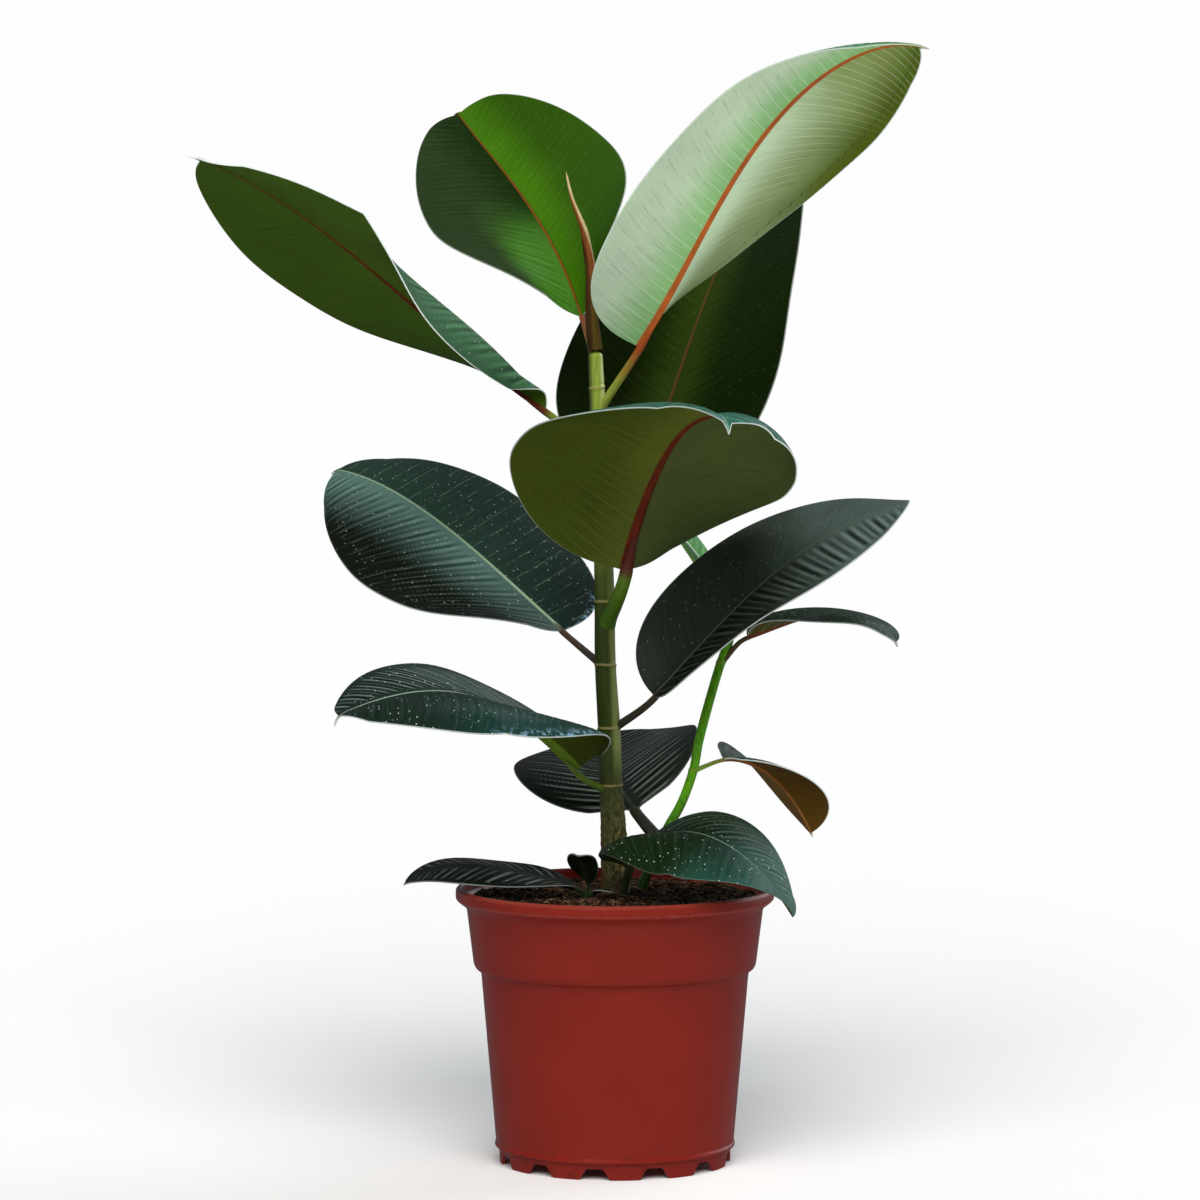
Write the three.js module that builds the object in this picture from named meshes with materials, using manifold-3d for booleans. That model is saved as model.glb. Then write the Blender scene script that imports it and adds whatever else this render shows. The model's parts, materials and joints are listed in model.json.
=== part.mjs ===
// Potted rubber plant: a ribbed-foot plastic nursery pot full of soil, a woody main stem, a thin side
// stem, a short low shoot, the red sheath of the growing tip, and sixteen broad leathery leaves.
// Millimetres, +Z up. The pot's axis is the working origin until the whole group is centred at the end.
import * as THREE from 'three';
import { LoftGeometry } from 'three/addons/geometries/LoftGeometry.js';
import { mergeVertices } from 'three/addons/utils/BufferGeometryUtils.js';
import Module from 'manifold-3d';

const wasm = await Module();
wasm.setup();

// ---- Driving dimensions ----------------------------------------------------------------------

const CLEARANCE = 0.3; // between pieces that touch

const POT = {
  height: 148.6,
  footRadius: 62,
  wall: 1.6,
  ridgeHeight: 9.6, // the moulded ridge just above the feet
  ridgeRadius: 64.6,
  waistHeight: 101.8, // top of the tapered lower wall
  waistRadius: 71.8,
  shoulderHeight: 106.8, // bottom of the wide collar
  shoulderRadius: 75.9,
  collarHeight: 138, // top of the collar, under the rim
  collarRadius: 79.7,
  rimRadius: 85.5,
  rimHeight: 7,
  floorHeight: 8.6,
  facets: 48,
};

const FOOT = { count: 12, gapBottom: 17.2, gapTop: 9, gapHeight: 6, turn: 4.8 };
const DRAIN = { count: 6, radius: 5, ring: 38 };

const SOIL = { level: 143.2, mound: 2.2, moundReach: 40, lump: 0.9, facets: 48 };

const MAIN_STEM = {
  // the line of its axis, from its buried foot to the growing tip
  points: [
    [0.5, 0, 126], [0, 0, 150], [-0.9, 0, 182], [-2.2, 0, 204], [-3.2, 0, 235], [-5.1, 0, 268],
    [-5.6, 0, 303], [-7.5, 0, 372], [-9.4, 0, 410], [-10.6, 0, 436],
  ],
  diameters: [18, 15.4, 13.6, 12.6, 12, 11.2, 10.8, 9.2, 8.3, 7.6],
  rings: [203, 234, 268, 302, 341, 383, 416],
};

const SIDE_STEM = {
  points: [
    [10, 12, 130], [16.3, 14, 151], [28, 18, 177], [36, 22, 191], [42.7, 28, 209],
    [45.6, 31, 224], [57.4, 41, 265], [62, 43.5, 277], [67, 47, 296], [69, 48, 306],
  ],
  diameters: [6.4, 5.6, 5.2, 5, 4.9, 5, 5, 5, 3.6, 1.4],
  rings: [171, 208.5, 266],
};

const LOW_SHOOT = {
  points: [[-14, -13.5, 130], [-15, -14, 140], [-15, -14, 146], [-15, -14, 149]],
  diameters: [6.5, 6, 5.4, 3.4],
  rings: [],
};

const STEM = { ringBulge: 0.45, ringHalfHeight: 1.8, step: 14, sides: 12 };

const BUD_SHEATH = {
  points: [
    [-10.7, 0, 436.4], [-12.4, 0, 454], [-13, 0, 480], [-14.7, 0, 490], [-16.6, 0, 500],
    [-22.9, 0, 517], [-26.1, 0, 531],
  ],
  diameters: [8.4, 7, 5.6, 4.9, 3.8, 2.1, 0.8],
  sides: 12,
};

const BLADE = {
  thickness: 0.8,
  ribDepth: 1.7, // how far the midrib stands out below the blade, at its base
  ribHalf: 0.05, // half width of the midrib, as a share of the half blade
  roundness: 2.25, // power of the outline's oval
  ovalEnd: 0.965, // where along the blade the oval closes; the drip tip runs on to the end
  baseHalf: 0.05, // half width where the blade meets its stalk, as a share of the half blade
  tipHalf: 0.16, // half width of the drip tip at its root, as a share of the half blade
  tipRun: 0.09, // share of the length over which the drip tip narrows
  curlWidth: 0.45, // a blade narrower than this share curls less
  midribSteps: 96,
};

const STALK = { taper: 0.82, sides: 8, steps: 6, intoBlade: 4 };

// Each leaf: the point where blade and stalk meet, the blade's size, and its run at base, middle and
// tip in degrees. Heading 0 is +X and 90 is away from the viewer; rise is above level; roll lifts the
// left half. Folds are each half's slope from the midrib, and curls how far it bends on to the margin.
// A flap is extra curl at the base of one half, which fades out at the given reach along the blade. A
// hook turns the tip up or down from its start on. Where a leaf has no drip tip, its oval ends later
// and is more pointed beyond the middle.
const LEAVES = [
  {
    name: 'leaf_top_right', stem: 'main_stem', joint: [-9.2, 0, 403], stalk: 4.6, rows: 17,
    base: [13, -12, 439], length: 255, width: 117, widest: 0.4, point: 0.6,
    heading: [-46, -25, -55], rise: [48, 52, -17], roll: [-7, -20, -23],
    leftFold: [50, 0, -15], rightFold: [25, 5, -20], leftCurl: [-10, -20, -45], rightCurl: [-5, -15, -35],
  },
  {
    name: 'leaf_top_back', stem: 'main_stem', joint: [-10.5, 0, 431], stalk: 4.2, rows: 15,
    base: [-18, 17, 454], length: 215, width: 114, widest: 0.4, point: 0.6,
    heading: [111, 115, 111], rise: [49, 30, 26], roll: [-48, -30, -20],
    leftFold: [65, 25, 12], rightFold: [30, 20, 32], leftCurl: [30, -30, 10], rightCurl: [30, -20, 30],
    hook: { start: 0.94, turn: -50 },
  },
  {
    name: 'leaf_top_left', stem: 'main_stem', joint: [-8.2, 0, 380], stalk: 4.6, rows: 17,
    base: [-37, -12, 405], length: 240, width: 110, widest: 0.56, point: 0.6,
    heading: [183, 199, 213], rise: [34, 39, 16], roll: [34, 32, 13],
    leftFold: [85, -10, -25], rightFold: [40, 0, 0], leftCurl: [-75, -5, 30], rightCurl: [30, 5, 5],
    flap: { side: 'left', curl: -190, reach: 0.65 },
    hook: { start: 0.95, turn: -20 },
  },
  {
    name: 'leaf_upper_back', stem: 'main_stem', joint: [-6.4, 0, 337], stalk: 4.8, rows: 15,
    base: [14, 34, 360], length: 246, width: 139, widest: 0.46, point: 0.55,
    heading: [75, 54, 52], rise: [38, 57, 31], roll: [8, 3, -7],
    leftFold: [20, 10, 5], rightFold: [20, 15, 15], leftCurl: [-10, -10, -15], rightCurl: [-20, 0, 0],
  },
  {
    name: 'leaf_front', stem: 'main_stem', joint: [-4.9, 0, 289], stalk: 8.2, rows: 17,
    base: [5, -28, 321], length: 188, width: 159, widest: 0.46, point: 0.5,
    heading: [-54, -73, -64], rise: [71, 27, 0], roll: [-5, 4, -9],
    leftFold: [10, 30, 5], rightFold: [25, 15, 30], leftCurl: [30, -110, -30], rightCurl: [10, -10, -60],
    hook: { start: 0.87, turn: -85 },
  },
  {
    name: 'leaf_middle_left', stem: 'main_stem', joint: [-5, 0, 266], stalk: 4, rows: 15,
    base: [-28, 8, 286], length: 197, width: 116, widest: 0.42, point: 0.55,
    heading: [139, 141, 126], rise: [32, 29, 0], roll: [-16, -25, -33],
    leftFold: [15, -10, 5], rightFold: [0, -5, 0], leftCurl: [20, -10, -35], rightCurl: [-5, -10, -35],
    hook: { start: 0.94, turn: -40 },
  },
  {
    name: 'leaf_middle_right', stem: 'main_stem', joint: [-2.9, 0, 232], stalk: 4.4, rows: 15,
    base: [21, -8, 252], length: 179, width: 86, widest: 0.43, point: 0.6,
    heading: [-2, -24, -4], rise: [48, 40, 15], roll: [37, 36, 25],
    leftFold: [45, 20, -15], rightFold: [30, 10, -20], leftCurl: [-5, -5, -5], rightCurl: [-5, -10, -15],
    ovalEnd: 1,
    tipPoint: 0.78,
  },
  {
    name: 'leaf_lower_left', stem: 'main_stem', joint: [-2, 0, 199], stalk: 4.4, rows: 17,
    base: [-20, -10, 212], length: 184, width: 91, widest: 0.38, point: 0.4,
    heading: [212, 228, 197], rise: [44, 14, -26], roll: [2, -2, -1],
    leftFold: [90, 0, 20], rightFold: [45, 20, 10], leftCurl: [-15, -40, -45], rightCurl: [-15, -5, -15],
    flap: { side: 'left', curl: -80, reach: 0.55 },
    hook: { start: 0.93, turn: -60 },
  },
  {
    name: 'leaf_side_back', stem: 'side_stem', joint: [25, 17, 170], stalk: 7, rows: 12,
    base: [11, 24, 188], length: 129, width: 106, widest: 0.53, point: 0.6,
    heading: [112, 95, 85], rise: [25, 9, 24], roll: [-10, -7, -8],
    leftFold: [5, 15, 5], rightFold: [20, 20, 10], leftCurl: [-35, -20, -20], rightCurl: [-25, -5, -15],
  },
  {
    name: 'leaf_side_right', stem: 'side_stem', joint: [57.6, 41, 265.5], stalk: 3.2, rows: 12,
    base: [72, 42, 280], length: 93, width: 47, widest: 0.5, point: 0.6,
    heading: [11, 1, -42], rise: [17, 5, -63], roll: [-2, -3, -7],
    leftFold: [40, 5, 10], rightFold: [50, 0, 15], leftCurl: [-10, 0, -5], rightCurl: [-10, -25, -15],
  },
  {
    name: 'leaf_side_drooping', stem: 'side_stem', joint: [42.6, 28, 208], stalk: 2.6, rows: 12,
    base: [59, 34, 214], length: 74, width: 53, widest: 0.47, point: 0.55,
    heading: [38, 15, 11], rise: [3, -44, -65], roll: [-1, -32, -41],
    leftFold: [55, 30, 45], rightFold: [15, 0, 30], leftCurl: [-25, 0, 0], rightCurl: [-25, -25, 15],
  },
  {
    name: 'leaf_side_young', stem: 'side_stem', joint: [66.4, 46.5, 293], stalk: 3, rows: 10,
    base: [55, 50, 303], length: 72, width: 30, widest: 0.48, point: 0.6,
    heading: [165, 165, 165], rise: [58, 52, 40], roll: [0, 0, 0],
    leftFold: [40, 25, 15], rightFold: [40, 25, 15], leftCurl: [-10, -10, -10], rightCurl: [-10, -10, -10],
  },
  {
    name: 'leaf_low_right', stem: 'soil', joint: [1, -13, 131], stalk: 5, rows: 15,
    base: [7, -16, 160], length: 130, width: 84, widest: 0.4, point: 0.55,
    heading: [-49, -33, -41], rise: [63, -15, -52], roll: [-2, 6, -12],
    leftFold: [35, 10, 5], rightFold: [80, 0, 40], leftCurl: [-25, -25, -25], rightCurl: [-15, -35, -10],
    flap: { side: 'right', curl: -100, reach: 0.5 },
    ovalEnd: 1,
    tipPoint: 0.78,
  },
  {
    name: 'leaf_low_left', stem: 'low_shoot', joint: [-15, -14, 145.5], stalk: 3.2, rows: 12,
    base: [-21, -15, 150], length: 97, width: 48, widest: 0.53, point: 0.65,
    heading: [194, 176, 174], rise: [15, 7, -40], roll: [-12, -9, -14],
    leftFold: [25, 0, 10], rightFold: [25, -5, 10], leftCurl: [-10, -20, -5], rightCurl: [-10, -5, -5],
    ovalEnd: 0.99,
    tipPoint: 0.75,
  },
  {
    name: 'leaf_low_round', stem: 'low_shoot', joint: [-15, -14, 147], stalk: 2.4, rows: 8,
    base: [-14, -13, 152], length: 31, width: 17, widest: 0.48, point: 0.65,
    heading: [-115, -102, -95], rise: [35, 42, 12], roll: [-4, 1, -3],
    leftFold: [30, 25, 15], rightFold: [35, 20, 25], leftCurl: [-5, 0, 0], rightCurl: [0, 0, 10],
  },
  {
    name: 'leaf_low_sprout', stem: 'low_shoot', joint: [-14.8, -14.3, 144.8], stalk: 2, rows: 6,
    base: [-11.5, -18, 147], length: 15, width: 8, widest: 0.5, point: 0.6,
    heading: [-50, -45, -40], rise: [30, 10, -20], roll: [0, 0, 0],
    leftFold: [20, 10, 5], rightFold: [20, 10, 5], leftCurl: [-10, -10, -10], rightCurl: [-10, -10, -10],
  },
];

const COLOURS = {
  pot: { color: 0x8c2a23, roughness: 0.42, metalness: 0 },
  soil: { color: 0x2a1a14, roughness: 0.95, metalness: 0 },
  main_stem: { color: 0x4c5220, roughness: 0.6, metalness: 0 },
  side_stem: { color: 0x4f9a1c, roughness: 0.45, metalness: 0 },
  low_shoot: { color: 0x3d4a1e, roughness: 0.6, metalness: 0 },
  bud_sheath: { color: 0xa4512c, roughness: 0.5, metalness: 0 },
  leaf: { color: 0x1d4a34, roughness: 0.35, metalness: 0 },
};

// ---- Solids ----------------------------------------------------------------------------------

// A closed mesh as a solid, without the slivers that closing its ends can leave.
function solidOf(geometry) {
  const bare = new THREE.BufferGeometry();
  bare.setAttribute('position', geometry.getAttribute('position'));
  bare.setIndex(geometry.index);
  const merged = mergeVertices(bare, 1e-4);
  const corners = merged.index.array;
  const kept = [];
  for (let i = 0; i < corners.length; i += 3) {
    const [a, b, c] = [corners[i], corners[i + 1], corners[i + 2]];
    if (a !== b && b !== c && c !== a) {
      kept.push(a, b, c);
    }
  }
  return new wasm.Manifold(new wasm.Mesh({
    numProp: 3,
    vertProperties: new Float32Array(merged.getAttribute('position').array),
    triVerts: new Uint32Array(kept),
  }));
}

function meshOf(name, solid, look) {
  if (solid.decompose().length !== 1) {
    throw new Error(`${name} is not one piece`);
  }
  const { vertProperties, triVerts } = solid.getMesh();
  const geometry = new THREE.BufferGeometry();
  geometry.setAttribute('position', new THREE.BufferAttribute(new Float32Array(vertProperties), 3));
  geometry.setIndex(new THREE.BufferAttribute(new Uint32Array(triVerts), 1));
  geometry.computeVertexNormals();
  const mesh = new THREE.Mesh(geometry, new THREE.MeshStandardMaterial(look));
  mesh.name = name;
  return mesh;
}

// ---- Pot and soil ----------------------------------------------------------------------------

// The inner wall follows the outer one at the wall's thickness, from the rim down to the floor.
function innerWall() {
  const { wall } = POT;
  return [
    [POT.collarRadius - wall, POT.collarHeight],
    [POT.shoulderRadius - wall, POT.shoulderHeight + wall],
    [POT.waistRadius - wall, POT.waistHeight],
    [POT.ridgeRadius - 0.6 - wall, POT.floorHeight + wall],
  ];
}

function potProfile() {
  const { wall, rimRadius, height, rimHeight } = POT;
  const rimBottom = height - rimHeight;
  const skirtTop = POT.ridgeHeight - 1.4;
  return [
    [0, POT.floorHeight],
    [POT.footRadius - wall, POT.floorHeight],
    [POT.footRadius - wall, 0],
    [POT.footRadius, 0],
    [POT.footRadius + 0.4, skirtTop],
    [POT.ridgeRadius, POT.ridgeHeight - 0.6],
    [POT.ridgeRadius, POT.ridgeHeight + 1],
    [POT.ridgeRadius - 0.6, POT.ridgeHeight + 2],
    [POT.waistRadius, POT.waistHeight],
    [POT.waistRadius + 0.5, POT.waistHeight + 2],
    [POT.shoulderRadius - 0.8, POT.shoulderHeight - 1.6],
    [POT.shoulderRadius, POT.shoulderHeight],
    [POT.collarRadius, POT.collarHeight],
    [rimRadius - 1.2, rimBottom - 0.6],
    [rimRadius, rimBottom + 0.8],
    [rimRadius, height - 0.8],
    [rimRadius - 0.8, height],
    [rimRadius - 2.6, height],
    [rimRadius - 3.4, height - 0.8],
    [rimRadius - 3.6, rimBottom + 1],
    ...innerWall(),
    [0, POT.floorHeight + wall],
  ];
}

function lathe(profile, facets) {
  return new THREE.LatheGeometry(profile.map(([r, z]) => new THREE.Vector2(r, z)), facets)
    .rotateX(Math.PI / 2);
}

// One gap between two feet: a trapezoid that runs out through the skirt.
function footGap(index) {
  const depth = 12;
  const shape = new THREE.Shape([
    new THREE.Vector2(-FOOT.gapBottom / 2, -1),
    new THREE.Vector2(FOOT.gapBottom / 2, -1),
    new THREE.Vector2(FOOT.gapTop / 2, FOOT.gapHeight),
    new THREE.Vector2(-FOOT.gapTop / 2, FOOT.gapHeight),
  ]);
  const turn = (index + 0.5) * 360 / FOOT.count - 90 + FOOT.turn;
  return new THREE.ExtrudeGeometry(shape, { depth, bevelEnabled: false })
    .rotateX(Math.PI / 2)
    .translate(0, POT.footRadius + depth / 2, 0)
    .rotateZ(THREE.MathUtils.degToRad(turn - 90));
}

function drainHole(index) {
  const angle = (index + 0.5) * 2 * Math.PI / DRAIN.count;
  return new THREE.CylinderGeometry(DRAIN.radius, DRAIN.radius, 6, 16)
    .rotateX(Math.PI / 2)
    .translate(DRAIN.ring * Math.cos(angle), DRAIN.ring * Math.sin(angle), POT.floorHeight + 1);
}

function potSolid() {
  let solid = solidOf(lathe(potProfile(), POT.facets));
  for (let i = 0; i < FOOT.count; i += 1) {
    solid = solid.subtract(solidOf(footGap(i)));
  }
  for (let i = 0; i < DRAIN.count; i += 1) {
    solid = solid.subtract(solidOf(drainHole(i)));
  }
  return solid;
}

// The fill of the pot, a gap inside its wall, with a low uneven mound round the main stem.
function soilSolid(holes) {
  const inside = innerWall().map(([r, z]) => [r - CLEARANCE, z]);
  const [, shoulder, waist, foot] = inside;
  const edge = [inside[0][0] + 0.8, SOIL.level - 1];
  const mound = (r) => SOIL.level + SOIL.mound * Math.max(0, 1 - r / SOIL.moundReach) ** 2;
  const profile = [
    [0, POT.floorHeight + POT.wall + CLEARANCE],
    [foot[0], foot[1] + CLEARANCE],
    waist, shoulder, inside[0], edge,
    ...[68, 54, 40, 26, 13, 0].map((r) => [r, mound(r)]),
  ];
  const geometry = lathe(profile, SOIL.facets);
  const position = geometry.getAttribute('position');
  for (let i = 0; i < position.count; i += 1) {
    const [x, y, z] = [position.getX(i), position.getY(i), position.getZ(i)];
    if (z > SOIL.level - 0.5) {
      position.setZ(i, z + SOIL.lump * Math.sin(x / 7.3 + y / 11) * Math.cos(y / 6.1 - x / 17));
    }
  }
  return holes.reduce((soil, hole) => soil.subtract(hole), solidOf(geometry));
}

// ---- Stems and stalks ------------------------------------------------------------------------

function ringOfPoints(centre, tangent, reference, radius, sides) {
  const across = reference.clone().addScaledVector(tangent, -reference.dot(tangent)).normalize();
  const up = new THREE.Vector3().crossVectors(tangent, across);
  return Array.from({ length: sides }, (_, i) => {
    const angle = 2 * Math.PI * i / sides;
    return centre.clone()
      .addScaledVector(across, radius * Math.cos(angle))
      .addScaledVector(up, radius * Math.sin(angle));
  });
}

// A round rod of changing thickness along a curve; shares run from 0 at its foot to 1 at its end.
function rod(curve, shares, radiusAt, sides, reference, grow = 0) {
  const sections = shares.map((u) => {
    const tangent = curve.getTangent(u);
    const centre = curve.getPoint(u).addScaledVector(tangent, endShift(u, 0, 1) * grow);
    return ringOfPoints(centre, tangent, reference, radiusAt(u) + grow, sides);
  });
  return solidOf(new LoftGeometry(sections, { capStart: true, capEnd: true }));
}

function between(values, u) {
  const place = u * (values.length - 1);
  const i = Math.min(Math.floor(place), values.length - 2);
  return THREE.MathUtils.lerp(values[i], values[i + 1], place - i);
}

// Which way a grown solid's station moves: down at its foot, up at its end.
function endShift(z, low, high) {
  return (z === high ? 1 : 0) - (z === low ? 1 : 0);
}

// A stem's stations: even steps, and three more at each of the rings where leaves have grown.
function stemSolid(stem, grow = 0) {
  const curve = new THREE.CatmullRomCurve3(stem.points.map((p) => new THREE.Vector3(...p)));
  const heights = stem.points.map((p) => p[2]);
  const shareAt = (z) => {
    const i = Math.max(0, heights.findIndex((h) => h >= z) - 1);
    return (i + (z - heights[i]) / (heights[i + 1] - heights[i])) / (heights.length - 1);
  };
  const { ringBulge, ringHalfHeight } = STEM;
  const ringAt = (z) => stem.rings.some((h) => Math.abs(h - z) < 0.01);
  const [low, high] = [heights[0], heights.at(-1)];
  const ringStations = stem.rings.flatMap((z) => [z - ringHalfHeight, z, z + ringHalfHeight]);
  const clear = (z) => stem.rings.every((h) => Math.abs(h - z) > ringHalfHeight + 1.5);
  const evenCount = Math.ceil((high - low) / STEM.step);
  const even = Array.from({ length: evenCount + 1 }, (_, i) => low + (high - low) * i / evenCount);
  const stations = [...even.filter((z) => clear(z) || z === low || z === high), ...ringStations]
    .sort((a, b) => a - b);
  const radiusAt = (u, z) => between(stem.diameters, u) / 2 + (ringAt(z) ? ringBulge : 0);
  const across = new THREE.Vector3(1, 0, 0);
  const sections = stations.map((z) => {
    const u = shareAt(z);
    const tangent = curve.getTangent(u);
    const centre = curve.getPoint(u).addScaledVector(tangent, endShift(z, low, high) * grow);
    return ringOfPoints(centre, tangent, across, radiusAt(u, z) + grow, STEM.sides);
  });
  return solidOf(new LoftGeometry(sections, { capStart: true, capEnd: true }));
}

function budSheathSolid(grow = 0) {
  const curve = new THREE.CatmullRomCurve3(BUD_SHEATH.points.map((p) => new THREE.Vector3(...p)));
  const count = 2 * (BUD_SHEATH.points.length - 1);
  const shares = Array.from({ length: count + 1 }, (_, i) => i / count);
  const radiusAt = (u) => between(BUD_SHEATH.diameters, u) / 2;
  return rod(curve, shares, radiusAt, BUD_SHEATH.sides, new THREE.Vector3(0, 1, 0), grow);
}

// ---- Leaves ----------------------------------------------------------------------------------

const radians = THREE.MathUtils.degToRad;

// A value given at base, middle and tip, read smoothly at share t of the length.
function along([atBase, atMiddle, atTip], t) {
  return atBase * (2 * t * t - 3 * t + 1) + atMiddle * (4 * t - 4 * t * t) + atTip * (2 * t * t - t);
}

// Half the blade's width at t, as a share of its widest half: a skewed oval that runs into a drip tip.
function outline(leaf, t) {
  const skew = Math.log(0.5) / Math.log(leaf.widest);
  const u = Math.min(t / (leaf.ovalEnd ?? BLADE.ovalEnd), 1) ** skew;
  const power = u > 0.5 ? leaf.tipPoint ?? leaf.point : leaf.point;
  const oval = Math.max(1 - Math.abs(2 * u - 1) ** BLADE.roundness, 0) ** power;
  const narrow = Math.min((1 - t) / BLADE.tipRun + 0.06, 1);
  const root = THREE.MathUtils.lerp(BLADE.baseHalf, BLADE.tipHalf, t);
  return Math.cbrt(oval ** 3 + (root * (0.35 * narrow + 0.65 * narrow ** 2)) ** 3);
}

// The rise at t, and the turn that a hooked tip adds to it.
function riseAt(leaf, t) {
  const { start, turn } = leaf.hook ?? { start: 0, turn: 0 };
  return along(leaf.rise, t) + turn * Math.max(0, (t - start) / (1 - start)) ** 2;
}

// The blade's own directions at t: along the midrib, to its left, and up out of its upper face.
function directions(leaf, t) {
  const heading = radians(along(leaf.heading, t));
  const rise = radians(riseAt(leaf, t));
  const forward = new THREE.Vector3(
    Math.cos(rise) * Math.cos(heading), Math.cos(rise) * Math.sin(heading), Math.sin(rise),
  );
  const left = new THREE.Vector3(-Math.sin(heading), Math.cos(heading), 0);
  left.applyAxisAngle(forward, radians(along(leaf.roll, t)));
  const up = new THREE.Vector3().crossVectors(forward, left);
  return { forward, left, up };
}

function midribPoint(leaf, t) {
  const point = new THREE.Vector3(...leaf.base);
  const steps = Math.max(1, Math.round(BLADE.midribSteps * t));
  for (let i = 0; i < steps; i += 1) {
    point.addScaledVector(directions(leaf, t * (i + 0.5) / steps).forward, leaf.length * t / steps);
  }
  return point;
}

// One half's cross-section is an arc: it leaves the midrib at the fold and bends by the curl.
function sectionOffset(leaf, t, share) {
  const side = share >= 0 ? 'left' : 'right';
  const width = outline(leaf, t);
  const flap = leaf.flap && leaf.flap.side === side
    ? leaf.flap.curl * Math.max(0, 1 - t / leaf.flap.reach) : 0;
  const fold = radians(along(leaf[`${side}Fold`], t));
  const bend = radians(along(leaf[`${side}Curl`], t) + flap) * Math.min(1, width / BLADE.curlWidth);
  const curl = Math.abs(bend) < 1e-3 ? 1e-3 : bend;
  const end = fold + curl * Math.abs(share);
  const half = leaf.width / 2 * width;
  return {
    sideways: Math.sign(share) * half * (Math.sin(end) - Math.sin(fold)) / curl,
    upward: half * (Math.cos(fold) - Math.cos(end)) / curl,
    slope: Math.sign(share) * end,
  };
}

// The places of a grid's outer points, once round: up its first column, and back down its last.
function rimOf(rows, perRow) {
  const upTo = (count, place) => Array.from({ length: count }, (_, i) => place(i));
  const last = (rows - 1) * perRow;
  return [
    ...upTo(rows - 1, (i) => i * perRow),
    ...upTo(perRow - 1, (j) => last + j),
    ...upTo(rows - 1, (i) => last - i * perRow + perRow - 1),
    ...upTo(perRow - 1, (j) => perRow - 1 - j),
  ];
}

// The two faces of the blade, cut into the same triangles, and the thin margin between them.
function bladeSolid(leaf) {
  const columns = leaf.rows > 8 ? [-1, -0.72, -0.4, -BLADE.ribHalf, 0, BLADE.ribHalf, 0.4, 0.72, 1]
    : [-1, -0.5, -BLADE.ribHalf * 2, 0, BLADE.ribHalf * 2, 0.5, 1];
  const shares = Array.from({ length: leaf.rows + 1 }, (_, i) => (
    0.5 - 0.5 * Math.cos(Math.PI * i / leaf.rows)
  ));
  const upper = [];
  const lower = [];
  for (const t of shares) {
    const { left, up } = directions(leaf, t);
    const spine = midribPoint(leaf, t);
    const endFade = Math.min(1, Math.min(t, 1 - t) / 0.08);
    for (const share of columns) {
      const { sideways, upward, slope } = sectionOffset(leaf, t, share);
      const top = spine.clone().addScaledVector(left, sideways).addScaledVector(up, upward);
      const nearRib = Math.abs(share) <= 2 * BLADE.ribHalf;
      const lean = nearRib ? 0 : slope * endFade;
      const rib = share === 0 ? BLADE.ribDepth * (leaf.stalk / 4.5) * (1 - t) ** 0.8 : 0;
      const down = up.clone().multiplyScalar(-Math.cos(lean)).addScaledVector(left, Math.sin(lean));
      upper.push(...top.toArray());
      lower.push(...top.addScaledVector(down, BLADE.thickness + rib).toArray());
    }
  }
  const perRow = columns.length;
  const below = shares.length * perRow;
  const index = [];
  for (let i = 0; i < shares.length - 1; i += 1) {
    for (let j = 0; j < perRow - 1; j += 1) {
      const [a, b] = [i * perRow + j, i * perRow + j + 1];
      const [c, d] = [a + perRow, b + perRow];
      index.push(a, c, b, b, c, d);
      index.push(below + a, below + b, below + c, below + b, below + d, below + c);
    }
  }
  const rim = rimOf(shares.length, perRow);
  rim.forEach((a, i) => {
    const b = rim[(i + 1) % rim.length];
    index.push(a, below + a, b, b, below + a, below + b);
  });
  const geometry = new THREE.BufferGeometry();
  geometry.setAttribute('position', new THREE.Float32BufferAttribute([...upper, ...lower], 3));
  geometry.setIndex(index);
  return solidOf(geometry);
}

// The stalk leaves its stem outwards and upwards, and runs on a little way under the blade.
function stalkSolid(leaf, grow = 0) {
  const { forward, up } = directions(leaf, 0);
  const joint = new THREE.Vector3(...leaf.joint);
  const base = new THREE.Vector3(...leaf.base).addScaledVector(up, -leaf.stalk / 4);
  const reach = joint.distanceTo(base);
  const away = base.clone().sub(joint).normalize();
  const curve = new THREE.CubicBezierCurve3(
    joint,
    joint.clone().addScaledVector(away, reach / 3),
    base.clone().addScaledVector(forward, -reach / 3),
    base.clone().addScaledVector(forward, STALK.intoBlade * leaf.stalk / 4.5),
  );
  const shares = Array.from({ length: STALK.steps + 1 }, (_, i) => i / STALK.steps);
  const radiusAt = (u) => leaf.stalk / 2 * THREE.MathUtils.lerp(1.1, STALK.taper, u);
  const reference = directions(leaf, 0).left;
  return rod(curve, shares, radiusAt, STALK.sides, reference, grow);
}

function leafSolid(leaf, cleared) {
  const whole = bladeSolid(leaf).add(stalkSolid(leaf));
  return cleared ? whole.subtract(cleared) : whole;
}

// ---- Assembly --------------------------------------------------------------------------------

const STEMS = { main_stem: MAIN_STEM, side_stem: SIDE_STEM, low_shoot: LOW_SHOOT };

// Each stem with the clearance round it, which its leaves and the soil are cut by.
function clearedStems() {
  const grown = Object.entries(STEMS).map(([name, stem]) => [name, stemSolid(stem, CLEARANCE)]);
  const cleared = Object.fromEntries(grown);
  cleared.main_stem = cleared.main_stem.add(budSheathSolid(CLEARANCE));
  return cleared;
}

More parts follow.
